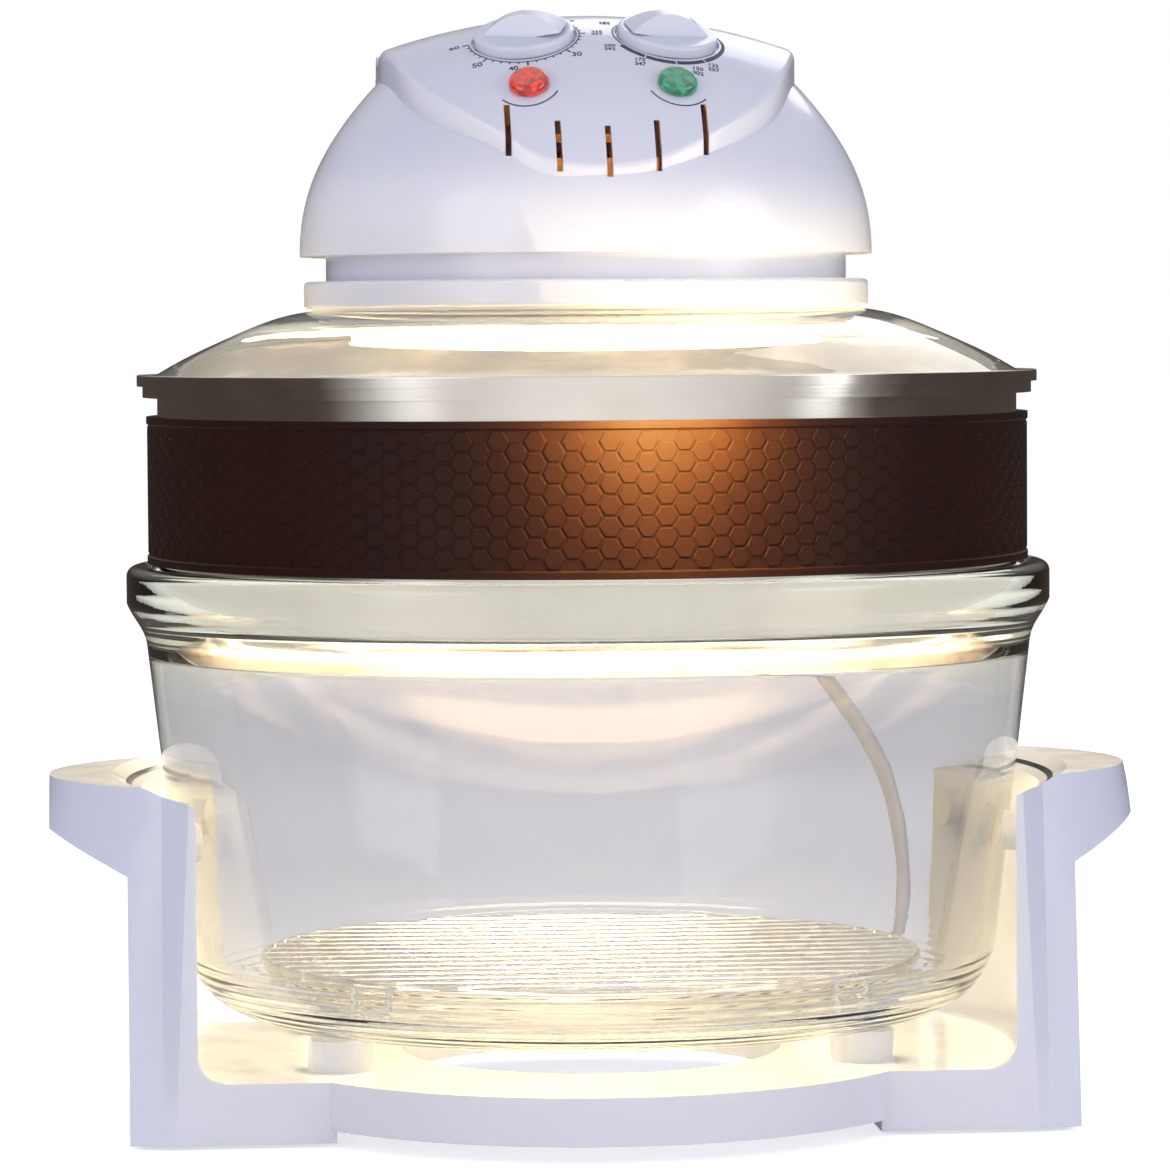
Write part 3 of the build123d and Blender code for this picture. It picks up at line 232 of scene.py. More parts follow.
def chrome_wire():
    """Steel wire, nickel and chrome plated: a hard bright mirror with a little haze."""
    finish, tree, shader, place = start_finish(
        "chrome_plated_wire", rgb("#e6e6e6"), 0.2, Metallic=1.0)
    haze = add_node(tree, "ShaderNodeTexNoise", {"Vector": place},
                    {"Scale": grain(6), "Detail": 3.0})
    tree.links.new(spread(tree, haze.outputs["Fac"], 0.14, 0.3), shader.inputs["Roughness"])
    return finish


def dark_silicone():
    """Dark brown silicone, compression moulded: satin, with a bloom that lightens it in patches."""
    brown = bpy.context.scene.oven_colours.sleeve
    finish, tree, shader, place = start_finish(
        "dark_silicone_moulded", (*brown, 1.0), 0.46, IOR=1.41, Specular_IOR_Level=0.2)
    bloom = add_node(tree, "ShaderNodeTexNoise", {"Vector": place},
                     {"Scale": grain(40), "Detail": 3.0})
    dark, light = ((*[c * share for c in brown], 1.0) for share in (0.6, 1.5))
    tone(tree, shader, bloom.outputs["Fac"], dark, light)
    skin = add_node(tree, "ShaderNodeTexNoise", {"Vector": place},
                    {"Scale": grain(0.8), "Detail": 2.0})
    relief(tree, shader, skin.outputs["Fac"], 0.015)
    return finish


def spun_aluminium():
    """Bright aluminium, spun: soft mirror with turning marks."""
    finish, tree, shader, place = start_finish(
        "aluminium_spun_bright", rgb("#d9d8d5"), 0.28, Metallic=1.0)
    # bands of a wave texture lie 0.314 of its size apart, so these marks are 2 mm apart
    marks = add_node(tree, "ShaderNodeTexWave", {"Vector": place},
                     {"Scale": grain(6.3), "Distortion": 0.6, "Detail": 1.0}, wave_type="RINGS",
                     rings_direction="Z")
    relief(tree, shader, marks.outputs["Fac"], 0.01)
    tone(tree, shader, marks.outputs["Fac"], rgb("#c9c8c4"), rgb("#e4e3e0"))
    return finish


def lit_quartz():
    """Quartz tube round a lit filament: clear skin over a warm white glow."""
    finish, tree, shader, place = start_finish(
        "quartz_tube_drawn", rgb("#ffe2b8"), 0.08, IOR=1.458, Emission_Color=rgb("#ffc27a"),
        Emission_Strength=bpy.context.scene.oven_colours.lamp_glow)
    turns = add_node(tree, "ShaderNodeTexNoise", {"Vector": place},
                     {"Scale": grain(4), "Detail": 1.0})
    tone(tree, shader, turns.outputs["Fac"], rgb("#ffd9a2"), rgb("#fff1d8"))
    return finish


def steatite():
    """Steatite ceramic, pressed and fired: chalky, with pin specks."""
    finish, tree, shader, place = start_finish(
        "steatite_ceramic_fired", rgb("#e6e0d2"), 0.55, IOR=1.57)
    specks = add_node(tree, "ShaderNodeTexVoronoi", {"Vector": place}, {"Scale": grain(1.6)})
    tone(tree, shader, specks.outputs["Distance"], rgb("#b9b09d"), rgb("#ebe5d8"))
    return finish


def fibre_board():
    """Mineral-fibre board, pressed: matt, with a felted grain."""
    finish, tree, shader, place = start_finish(
        "mineral_board_pressed", rgb("#c9c3b6"), 0.9, IOR=1.5)
    felt = add_node(tree, "ShaderNodeTexNoise", {"Vector": place},
                    {"Scale": grain(1.2), "Detail": 5.0})
    tone(tree, shader, felt.outputs["Fac"], rgb("#a39c8c"), rgb("#d6d0c4"))
    relief(tree, shader, felt.outputs["Fac"], 0.08)
    return finish


def zinc_steel():
    """Zinc-plated sheet steel: grey, with faint spangles about 3 mm across."""
    finish, tree, shader, place = start_finish(
        "steel_zinc_plated", rgb("#9a9ca0"), 0.38, Metallic=1.0)
    spangle = add_node(tree, "ShaderNodeTexVoronoi", {"Vector": place}, {"Scale": grain(3.0)})
    tone(tree, shader, spangle.outputs["Color"], rgb("#85878b"), rgb("#b3b5b9"))
    return finish


def copper_winding():
    """Enamelled copper wire, wound: amber, ridged where the turns lie, with painted shade between
    the turns and painted light on their crowns.
    """
    finish, tree, shader, place = start_finish(
        "copper_wire_enamelled", rgb("#8a4a22"), 0.3, Metallic=0.8)
    # turns of the 0.6 mm wire are drawn 3.8 mm apart, 0.314 of the size given, to show
    turns = add_node(tree, "ShaderNodeTexWave", {"Vector": place}, {"Scale": grain(12)},
                     bands_direction="X")
    # painted light and shade: darker in the grooves between turns, lighter on their crowns
    tone(tree, shader, turns.outputs["Fac"], rgb("#5c2c12"), rgb("#b56a34"))
    relief(tree, shader, turns.outputs["Fac"], 0.15)
    return finish


def black_moulding():
    """Black nylon, moulded: dull, with a fine spark texture."""
    finish, tree, shader, place = start_finish("black_nylon_moulded", rgb("#1b1b1d"), 0.5, IOR=1.53)
    spark = add_node(tree, "ShaderNodeTexNoise", {"Vector": place},
                     {"Scale": grain(0.9), "Detail": 2.0})
    relief(tree, shader, spark.outputs["Fac"], 0.03)
    tone(tree, shader, spark.outputs["Fac"], rgb("#141416"), rgb("#28282b"))
    return finish


def lens_plastic(name, colour, glow):
    """Clear tinted acrylic, moulded with facets behind: deep colour, with painted glints and shade
    on the facets and a painted glow for the lit bulb behind.
    """
    # the emission is a painted glow: the neon bulb's light, which does not pass through this lens
    finish, tree, shader, place = start_finish(
        name, colour, 0.05, IOR=1.49, Coat_Weight=1.0, Coat_Roughness=0.02, Emission_Color=colour,
        Emission_Strength=glow)
    facets = add_node(tree, "ShaderNodeTexVoronoi", {"Vector": place},
                      {"Scale": grain(2.6)}, feature="F1")
    dark = (*[c * 0.5 for c in colour[:3]], 1.0)
    light = (*[min(1.0, c * 1.25 + 0.02) for c in colour[:3]], 1.0)
    # painted light: each facet is set lighter or darker at random, as glints and shade
    tone(tree, shader, spread(tree, facets.outputs["Color"], 0.0, 1.0, 0.2, 0.8), dark, light)
    relief(tree, shader, facets.outputs["Distance"], 0.25)
    return finish


def neon_glass():
    """Small glass neon bulb: clear, with an orange glow inside."""
    finish, tree, shader, place = start_finish(
        "neon_bulb_glass", rgb("#ffd2a8"), 0.05, IOR=1.5, Transmission_Weight=0.6,
        Emission_Color=rgb("#ff7a3c"), Emission_Strength=1.5)
    glow = add_node(tree, "ShaderNodeTexNoise", {"Vector": place}, {"Scale": grain(3)})
    tone(tree, shader, glow.outputs["Fac"], rgb("#ffb27a"), rgb("#ffe6cc"))
    return finish


def cord_sheath():
    """White PVC sheath, extruded: satin, with faint handling marks."""
    finish, tree, shader, place = start_finish("white_PVC_extruded", rgb("#dcdde6"), 0.4, IOR=1.53,
                                               Subsurface_Weight=0.05, Subsurface_Scale=0.002)
    marks = add_node(tree, "ShaderNodeTexNoise", {"Vector": place},
                     {"Scale": grain(14), "Detail": 4.0})
    tone(tree, shader, marks.outputs["Fac"], rgb("#cfd1dc"), rgb("#e6e7ee"))
    relief(tree, shader, marks.outputs["Fac"], 0.05)
    return finish


def plug_finish(front):
    """White PVC moulded over two nickel-plated blades, which lie past x = front."""
    finish, tree, shader, place = start_finish(
        "white_PVC_and_nickel", rgb("#dcdde6"), 0.38, IOR=1.53)
    split = add_node(tree, "ShaderNodeSeparateXYZ", {"Vector": place})
    metal = add_node(tree, "ShaderNodeMath", {0: split.outputs["X"]}, {1: front},
                     operation="LESS_THAN")
    tone(tree, shader, metal.outputs["Value"], rgb("#dcdde6"), rgb("#c9c7c2"))
    tree.links.new(metal.outputs["Value"], shader.inputs["Metallic"])
    grip = add_node(tree, "ShaderNodeTexNoise", {"Vector": place},
                    {"Scale": grain(1.1), "Detail": 2.0})
    relief(tree, shader, grip.outputs["Fac"], 0.02)
    return finish


def dial_ink():
    """Grey-violet pad-printing ink: matt, slightly uneven where the pad let go."""
    finish, tree, shader, place = start_finish("pad_print_ink", rgb("#36384c"), 0.6, IOR=1.5)
    thin = add_node(tree, "ShaderNodeTexNoise", {"Vector": place},
                    {"Scale": grain(1.0), "Detail": 3.0})
    tone(tree, shader, thin.outputs["Fac"], rgb("#2f3145"), rgb("#484b62"))
    return finish


def studio_paper():
    """Pale seamless paper: matt, all but white."""
    finish, tree, shader, place = start_finish(
        "studio_paper", rgb("#f7f7fb"), 0.85, Emission_Color=rgb("#ffffff"))
    # lit from below, so that it stays white far away, but throws little light up at the oven
    ray = add_node(tree, "ShaderNodeLightPath").outputs
    straight = add_node(tree, "ShaderNodeMath",
                        {0: ray["Is Camera Ray"], 1: ray["Is Transmission Ray"]},
                        operation="MAXIMUM")
    power = add_node(tree, "ShaderNodeMath", {0: straight.outputs["Value"]}, {1: 0.38, 2: 0.18},
                     operation="MULTIPLY_ADD")
    tree.links.new(power.outputs["Value"], shader.inputs["Emission Strength"])
    fibre = add_node(tree, "ShaderNodeTexNoise", {"Vector": place},
                     {"Scale": grain(30), "Detail": 2.0})
    tone(tree, shader, fibre.outputs["Fac"], rgb("#f6f5f8"), rgb("#fbfbfc"))
    return finish


# -------------------- building pieces


made = {}                     # each finish that is shared, by its maker


def shared(maker):
    """A finish that several pieces wear, made once."""
    if maker not in made:
        made[maker] = maker()
    return made[maker]


def dress(maker, *names):
    """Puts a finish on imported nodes."""
    for name in names:
        for slot in frame["nodes"][name].material_slots:
            slot.material = shared(maker)


def placed(name, data):
    """A new object in the scene, at the origin."""
    thing = bpy.data.objects.new(name, data)
    bpy.context.scene.collection.objects.link(thing)
    return thing


def mesh_from(shape, name):
    """A mesh out of a bmesh, which is freed."""
    mesh = bpy.data.meshes.new(name)
    shape.to_mesh(mesh)
    shape.free()
    return mesh


def around(radius, angle, height=0.0):
    """The point at this radius and angle about the axis."""
    return radius * math.cos(angle), radius * math.sin(angle), height


def new_piece(name, mesh, finish, body):
    """An object at the origin that rides on a body."""
    piece = placed(name, mesh)
    if finish:
        mesh.materials.clear()
        mesh.materials.append(finish)
    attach(piece, body)
    return piece


def mesh_of(piece):
    """The piece as a plain mesh, modifiers applied."""
    graph = bpy.context.evaluated_depsgraph_get()
    return bpy.data.meshes.new_from_object(piece.evaluated_get(graph), depsgraph=graph)


def turned(name, outline, steps):
    """A mesh from an outline of (radius, height), turned about the axis; radius 0 makes a pole."""
    shape = bmesh.new()
    rings = []
    for radius, height in outline:
        if radius < 1e-6:
            rings.append([shape.verts.new((0, 0, height))])
            continue
        turns = [2 * math.pi * k / steps for k in range(steps)]
        rings.append([shape.verts.new(around(radius, a, height)) for a in turns])
    for low, high in zip(rings, rings[1:] + rings[:1]):
        if len(low) == len(high) == 1:
            continue
        for k in range(steps):
            ahead = (k + 1) % steps
            corners = [low[k % len(low)], low[ahead % len(low)],
                       high[ahead % len(high)], high[k % len(high)]]
            shape.faces.new(list(dict.fromkeys(corners)))
    bmesh.ops.recalc_face_normals(shape, faces=shape.faces)
    mesh = mesh_from(shape, name)
    mesh.shade_smooth()
    return mesh


STRAIGHT = 1.56               # half angle in radians past which a corner gets no fillet
FILLET_CHORDS = 8             # chords in each radian of a fillet
RING_CHORDS = 7               # chords across each pressed ring


def rounded(corners):
    """Points of an outline whose corners are (radius, height, fillet); both ends stay sharp."""
    points = [Vector(corners[0][:2])]
    for before, corner, after in zip(corners, corners[1:], corners[2:]):
        here, fillet = Vector(corner[:2]), corner[2]
        back, on = ((Vector(other[:2]) - here).normalized() for other in (before, after))
        half = back.angle(on) / 2
        if not fillet or half > STRAIGHT:
            points.append(here)
            continue
        reach = fillet / math.tan(half)
        middle = here + (back + on).normalized() * fillet / math.sin(half)
        first, last = here + back * reach - middle, here + on * reach - middle
        start = math.atan2(first.y, first.x)
        turn = (math.atan2(last.y, last.x) - start + math.pi) % (2 * math.pi) - math.pi
        steps = max(3, math.ceil(abs(turn) * FILLET_CHORDS))
        for k in range(steps + 1):
            a = start + turn * k / steps
            points.append(middle + fillet * Vector((math.cos(a), math.sin(a))))
    return points + [Vector(corners[-1][:2])]


def ringed(points, start, end, pitch, depth):
    """Presses rings into an outline between two distances along it, to the left of its way."""
    fine, run = [], 0.0
    for here, there in zip(points, points[1:]):
        way = there - here
        inward = Vector((-way.y, way.x)).normalized()
        crossed = run < end and run + way.length > start
        steps = max(1, math.ceil(way.length * RING_CHORDS / pitch)) if crossed else 1
        for k in range(steps):
            along = run + way.length * k / steps
            turn = 2 * math.pi * (along - start) / pitch
            wave = 0.5 - 0.5 * math.cos(turn) if start < along < end else 0.0
            fine.append(here + way * k / steps + inward * depth * wave)
        run += way.length
    return fine + [points[-1]]


# -------------------- cord


# all in millimetres
CORD_ROUTE = [
    (41.04, 112.76, 316), (49.25, 135.32, 316), (60, 161, 305), (68.5, 182, 282), (75.5, 193, 253),
    (83, 197.5, 222), (93, 197, 192), (106.5, 193.5, 166), (121.5, 190, 143.5), (136, 187.5, 122.5),
    (146, 186.5, 98), (151.5, 187, 71), (152.5, 188.5, 48), (150, 193.5, 27), (144, 203.5, 12.5),
    (138.5, 219, 6.2),
]
COIL_CENTRE = (95.5, 217.0)
COIL_TURNS = ((43.4, 3.9), (36.4, 3.9), (36.4, 10.9), (43.4, 10.9))   # radius and height
COIL_STEPS = 16               # points in a turn
BLADE_LENGTH = 16.0


def cord_points(plug_y, plug_z):
    """The cord's control points: from its exit down, round the coil and into the plug."""
    points = [Vector(p) for p in CORD_ROUTE]
    count = len(COIL_TURNS) * COIL_STEPS
    # the fall ends where the coil's second point would be, and the last turn is a quarter longer
    for k in range(2, count + COIL_STEPS // 4 - 1):
        turn = min(k / COIL_STEPS, len(COIL_TURNS) - 0.001)
        now = COIL_TURNS[int(turn)]
        following = COIL_TURNS[min(int(turn) + 1, len(COIL_TURNS) - 1)]
        share = max(0.0, (turn % 1.0) * 4 - 3)      # it steps over in the last quarter of a turn
        radius, height = (a + (b - a) * share for a, b in zip(now, following))
        x, y, z = around(radius, 2 * math.pi * k / COIL_STEPS, height)
        points.append(Vector((COIL_CENTRE[0] + x, COIL_CENTRE[1] + y, z)))
    points += [Vector(p) for p in (
        (109, plug_y + 0.5, 10.9), (96, plug_y + 1.5, 10.2), (84, plug_y, plug_z + 0.8),
        (74, plug_y, plug_z), (60, plug_y, plug_z))]
    return [p * MM for p in points]


def tube(name, points, diameter, finish):
    """A round cord along a smooth spline with these control points."""
    curve = bpy.data.curves.new(name, "CURVE")
    curve.dimensions = "3D"
    curve.bevel_depth = diameter / 2
    curve.bevel_resolution = 5
    curve.resolution_u = 8
    curve.use_fill_caps = True
    spline = curve.splines.new("NURBS")
    spline.points.add(len(points) - 1)
    for knot, place in zip(spline.points, points):
        knot.co = (*place, 1.0)
    spline.order_u = 3
    spline.use_endpoint_u = True
    curve.materials.append(finish)
    return placed(name, curve)


# -------------------- sleeve pattern


# sums that place each pad: result, operation, and what goes in by name or as a number
PAD_SUMS = (
    ("Column", "MODULO", "Index", "Columns"), ("Columns passed", "DIVIDE", "Index", "Columns"),
    ("Row", "FLOOR", "Columns passed"), ("Column step", "DIVIDE", 2 * math.pi, "Columns"),
    ("Angle", "MULTIPLY", "Column", "Column step"), ("Odd", "MODULO", "Column", 2.0),
    ("Half step", "MULTIPLY", "Odd", 0.5), ("Steps up", "ADD", "Row", "Half step"),
    ("Rise", "MULTIPLY", "Steps up", "Row Pitch"), ("Height", "ADD", "Lowest", "Rise"),
    ("Cosine", "COSINE", "Angle"), ("Across", "MULTIPLY", "Drum Radius", "Cosine"),
    ("Sine", "SINE", "Angle"), ("Along", "MULTIPLY", "Drum Radius", "Sine"),
    ("Facing", "ADD", "Angle", math.pi / 2), ("Count", "MULTIPLY", "Columns", "Rows"),
    ("Top Radius", "SUBTRACT", "Pad Radius", "Pad Height"))


def pad_tree(finish):
    """Geometry nodes that set hexagon pads round a drum, odd columns half a pitch up."""
    tree = bpy.data.node_groups.new("hexagon_pads", "GeometryNodeTree")
    tree.interface.new_socket("Geometry", in_out="OUTPUT", socket_type="NodeSocketGeometry")
    inputs = (("Columns", "Int"), ("Rows", "Int"), ("Drum Radius", "Float"), ("Lowest", "Float"),
              ("Row Pitch", "Float"), ("Pad Radius", "Float"), ("Pad Height", "Float"))
    for name, kind in inputs:
        tree.interface.new_socket(name, in_out="INPUT", socket_type="NodeSocket" + kind)
    given = add_node(tree, "NodeGroupInput").outputs
    known = {name: given[name] for name, kind in inputs}
    known["Index"] = add_node(tree, "GeometryNodeInputIndex").outputs["Index"]
    for result, operation, *terms in PAD_SUMS:
        wires = {k: known[term] for k, term in enumerate(terms) if isinstance(term, str)}
        values = {k: term for k, term in enumerate(terms) if not isinstance(term, str)}
        known[result] = add_node(tree, "ShaderNodeMath", wires, values, operation=operation,
                                 label=result).outputs["Value"]
    place = add_node(tree, "ShaderNodeCombineXYZ", {
        "X": known["Across"], "Y": known["Along"], "Z": known["Height"]})
    facing = add_node(tree, "ShaderNodeCombineXYZ", {"Z": known["Facing"]}, {"X": math.pi / 2})
    turn = add_node(tree, "FunctionNodeEulerToRotation", {"Euler": facing.outputs["Vector"]})
    points = add_node(tree, "GeometryNodePoints", {
        "Count": known["Count"], "Position": place.outputs["Vector"]})
    pad = add_node(tree, "GeometryNodeMeshCone", {
        "Radius Bottom": known["Pad Radius"], "Depth": known["Pad Height"],
        "Radius Top": known["Top Radius"]}, {"Vertices": 6})
    pads = add_node(tree, "GeometryNodeInstanceOnPoints", {
        "Points": points.outputs["Geometry"], "Instance": pad.outputs["Mesh"],
        "Rotation": turn.outputs["Rotation"]})
    solid = add_node(tree, "GeometryNodeRealizeInstances", {"Geometry": pads.outputs["Instances"]})
    coated = add_node(tree, "GeometryNodeSetMaterial", {"Geometry": solid.outputs["Geometry"]},
                      {"Material": finish})
    add_node(tree, "NodeGroupOutput", {"Geometry": coated.outputs["Geometry"]})
    return tree


def grown(name, tree, sizes, body):
    """The plain mesh that a node tree makes with these inputs, as a piece on a body."""
    carrier = placed(name + "_carrier", bpy.data.meshes.new(name + "_carrier"))
    modifier = carrier.modifiers.new("grow", "NODES")
    modifier.node_group = tree
    for socket in tree.interface.items_tree:
        if socket.in_out == "INPUT" and socket.name in sizes:
            modifier[socket.identifier] = sizes[socket.name]
    mesh = mesh_of(carrier)
    bpy.data.objects.remove(carrier)
    mesh.name = name
    return new_piece(name, mesh, None, body)


# -------------------- dial print


# millimetres, and degrees where it says so
CROWN = dict(across=220.0, along=105.0, forward=5.0, top=391.8)   # the control panel's two arcs
KNOB_PLACE = (25.0, -45.0)
LENS_PLACE = (25.5, -73.5)
INK = 0.05                    # thickness of the print
LIFT = 0.01                   # gap under it
THIN_RING = (19.1, 19.55)     # inner and outer radius of the line round a dial
BOLD_RING = 20.9              # outer radius where that line is bold
BOLD_GAP = 0.8                # degrees left free at each end of a bold arc
TAIL_START = 5.0              # degrees before the lowest temperature: there it narrows
TAIL = (12, 8.0, 0.12)        # pieces that the narrowing takes, and degrees and loss in each
OVERLAP = 0.2                 # degrees by which each runs into the next
TICK_START = 19.3
LONG_TICK, SHORT_TICK = (2.0, 21.5), (1.5, 20.4)     # width in degrees, and outer radius
TIMER_START = 87.0            # degrees: where the timer's zero is
TIMER_STEP = 45.0             # degrees for ten minutes
HEAT_START = -52.0            # degrees: where the lowest temperature is
HEAT_STEP = 31.5              # degrees for 25 degrees Celsius
HEAT_OVERRUN = 4.0            # degrees that the thin line goes on past the highest
TIMER_OVAL = (24.4, 23.6)     # half axes of the oval that the figures stand on
HEAT_OVAL = (24.8, 23.8)
HEAT_FIGURE = 0.72            # height of its figures, against the timer's
ASIDE = {40: (-6.2, -21.9), 150: (9.6, -22.6)}   # figures that stand clear of the lenses
ASIDE_FIGURE = 0.85           # height of the timer's figure that does
LENS_ARC = (11.3, 11.8, -146, -34)               # radii and degrees of the arc under a lens
LENS_SHIFT = (0.6, 1.0)       # from the lens's middle to the arc's


def panel_plane(x, y):
    """Matrix of the plane that touches the panel above (x, y), in millimetres."""
    across = math.sqrt(CROWN["across"]**2 - x**2)
    ring = CROWN["along"] - CROWN["across"] + across
    back = y + CROWN["forward"]
    rise = math.sqrt(ring**2 - back**2)
    normal = Vector((x, across * back / ring, across * rise / ring)).normalized()
    right = Vector((normal.z, 0, -normal.x)).normalized()
    place = Matrix((right, normal.cross(right), normal)).transposed().to_4x4()
    place.translation = (x, y, CROWN["top"] - CROWN["along"] + rise)
    return place


def band(shape, inner, outer, start, end):
    """A flat arc between two radii and two angles in degrees, about the middle."""
    steps = max(1, math.ceil(abs(end - start) / 3))
    pairs = []
    for k in range(steps + 1):
        a = math.radians(start + (end - start) * k / steps)
        pairs.append([shape.verts.new(around(r, a)) for r in (inner, outer)])
    for (a, b), (c, d) in zip(pairs, pairs[1:]):
        shape.faces.new((a, b, d, c))


def beside(mark, oval, tick):
    """Where a mark's figure stands: on the oval at its tick, or clear of a lens."""
    wide, tall = oval
    a = math.radians(tick)
    return ASIDE.get(mark, (wide * math.cos(a), tall * math.sin(a)))


def written(shape, text, size, place):
    """Adds flat figures centred at a place."""
    letters = bpy.data.curves.new("figures", "FONT")
    letters.body, letters.size = text, size
    letters.offset, letters.space_line = 0.018 * size, 0.95    # a little bolder, and closer
    letters.align_x, letters.align_y = "CENTER", "CENTER"
    holder = placed("figures", letters)
    flat = mesh_of(holder)
    flat.transform(Matrix.Translation((*place, 0.0)))
    shape.from_mesh(flat)
    bpy.data.objects.remove(holder)
    bpy.data.meshes.remove(flat)


def printed(name, shape, x, y):
    """A flat print drawn about (x, y), wrapped on to the panel, with the ink's thickness."""
    plane = panel_plane(x, y)
    for face in shape.faces:
        face.normal_update()
    bmesh.ops.reverse_faces(shape, faces=[face for face in shape.faces if face.normal.z < 0])
    for vert in shape.verts:
        spot = plane @ vert.co
        touch = panel_plane(spot.x, spot.y)
        vert.co = (touch.translation + touch.col[2].to_3d() * LIFT) * MM
    piece = new_piece(name, mesh_from(shape, name), shared(dial_ink), "head")
    thick = piece.modifiers.new("ink", "SOLIDIFY")
    thick.thickness, thick.offset = INK * MM, 1.0


# -------------------- sizes and colours


def size(name, description, value, **more):
    """A length in metres, given in millimetres."""
    return FloatProperty(name=name, description=description, default=value * MM, unit="LENGTH",
                         subtype="DISTANCE", precision=4, **more)


def angle(name, description, value):
    """An angle, given in degrees."""
    return FloatProperty(name=name, description=description, default=math.radians(value),
                         unit="ROTATION", subtype="ANGLE", precision=3)


def colour(name, description, code):
    """A colour, given as an sRGB hex value."""
    return FloatVectorProperty(name=name, description=description, default=rgb(code)[:3], size=3,
                               min=0.0, max=1.0, subtype="COLOR")


LAMP_GLOW = 6.0               # the glow at which the lights round the tube have their own power


class OvenSizes(bpy.types.PropertyGroup):
    """Sizes a user would change."""
    cord: size("Cord", "Diameter of the mains cord", 7.0)
    columns: IntProperty(name="Pad columns", description="Hexagon columns round the sleeve",
                         default=160, min=3)
    rows: IntProperty(name="Pad rows", description="Hexagons in a column", default=6, min=1)
    pad: size("Pad radius", "Middle to corner of a hexagon", 3.75)
    pad_height: size("Pad height", "How far a hexagon stands out", 0.3)
    pad_pitch: size("Pad pitch", "Upright distance between hexagons", 7.05)
    print_height: size("Print height", "Size of the dial figures", 3.7)
    ripple: size("Ripple", "Depth of the rings pressed in the bowl's bottom", 0.22)
    camera_distance: size("Camera distance", "From the axis to the camera, along the floor", 1757.0)
    camera_height: size("Camera height", "Above the table", 281.0)
    camera_turn: angle("Camera turn", "Round the axis, from straight in front", -5.0)
    camera_pitch: angle("Camera pitch", "Below the horizon", 3.0)
    camera_roll: angle("Camera roll", "Right side up", 0.4)
    camera_lens: FloatProperty(name="Lens", description="Focal length", default=150.77,
                               unit="CAMERA")


class OvenColours(bpy.types.PropertyGroup):
    """Colours and lights a user would change."""
    plastic: colour("Plastic", "White mouldings", "#dfe2f1")
    sleeve: colour("Sleeve", "Silicone sleeve", "#26100a")
    glass_depth: FloatProperty(name="Glass depth", default=14.0, min=0.0,
                               description="How fast glass darkens along the wall")
    lamp_glow: FloatProperty(name="Lamp glow", description="Brightness of the halogen tube",
                             default=LAMP_GLOW, min=0.0)
    key: FloatProperty(name="Key light", description="Power of the large lights", default=7.0,
                       min=0.0, unit="POWER")


class OvenStep:
    """What every step of the build shares."""
    bl_options = {"REGISTER", "UNDO"}

    def execute(self, context):
        """Builds the piece."""
        self.build(context.scene.oven_sizes, context.scene.oven_colours)
        return {"FINISHED"}


class OVEN_OT_camera(OvenStep, bpy.types.Operator):
    """Long lens, a little left of the front, just above the bowl's rim and turned slightly down"""
    bl_idname = "oven.camera"
    bl_label = "Camera"

    def build(self, sizes, colours):
        turn, pitch, roll = sizes.camera_turn, sizes.camera_pitch, sizes.camera_roll
        ahead = Vector((-math.sin(turn) * math.cos(pitch), math.cos(turn) * math.cos(pitch),
                        -math.sin(pitch)))
        right = Vector((math.cos(turn), math.sin(turn), 0.0))
        up = right.cross(ahead)
        rolled = right * math.cos(roll) - up * math.sin(roll)
        lens = bpy.data.cameras.new("camera")
        lens.lens, lens.sensor_width = sizes.camera_lens, 36.0
        lens.clip_start, lens.clip_end = 0.05, 30.0
        lens.shift_x = -0.0026      # the axis stands a little right of the middle
        camera = placed("camera", lens)
        camera.matrix_world = Matrix((rolled, rolled.cross(ahead), -ahead)).transposed().to_4x4()
        away = sizes.camera_distance
        camera.location = (away * math.sin(turn), -away * math.cos(turn), sizes.camera_height)
        bpy.context.scene.camera = camera


class OVEN_OT_cord(OvenStep, bpy.types.Operator):
    """White mains cord, from the strain relief down behind the bowl into a coil, and its plug"""
    bl_idname = "oven.cord"
    bl_label = "Cord and plug"

    def build(self, sizes, colours):
        low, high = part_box("plug")
        tail = (low + high) / 2 / MM
        points = cord_points(tail.y, tail.z)
        cord = tube("cord", points, sizes.cord, shared(cord_sheath))
        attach(cord, "head")
        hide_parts("power_cord", "cord_coil")
        plug, relief_sleeve = frame["nodes"]["plug"], frame["nodes"]["strain_relief"]
        plug.material_slots[0].material = plug_finish(low.x + BLADE_LENGTH * MM)
        dress(cord_sheath, "strain_relief")


class OVEN_OT_stand(OvenStep, bpy.types.Operator):
    """Finishes of the stand, its feet, pads and bumpers"""
    bl_idname = "oven.stand"
    bl_label = "Stand"

    def build(self, sizes, colours):
        dress(moulded_abs, "base_frame")
        dress(soft_rubber, "rubber_feet", "support_pads", "side_bumpers")


# the bowl's section in millimetres: corners are (radius, height, fillet)
BOWL_OUTSIDE = [(0, 37.5, 0), (142.8, 37.5, 29), (158, 170, 0)]
# one Bezier curve and how many points it gets
BOWL_NECK = [(158, 170, 0), (158.62, 175.4, 0), (163.2, 179.4, 0), (165, 184.5, 0), 9]
BOWL_INSIDE = [(165, 184.5, 0), (165, 197.5, 3.5), (155.2, 197.5, 2.5), (155.2, 180, 0),
               (151.2, 180, 1), (152.6, 166, 8), (137.8, 42.5, 24), (0, 42.5, 0)]
RINGS = (66.0, 158.0, 4.0)    # start and end along the outside, and pitch
BOWL_STEPS = 192


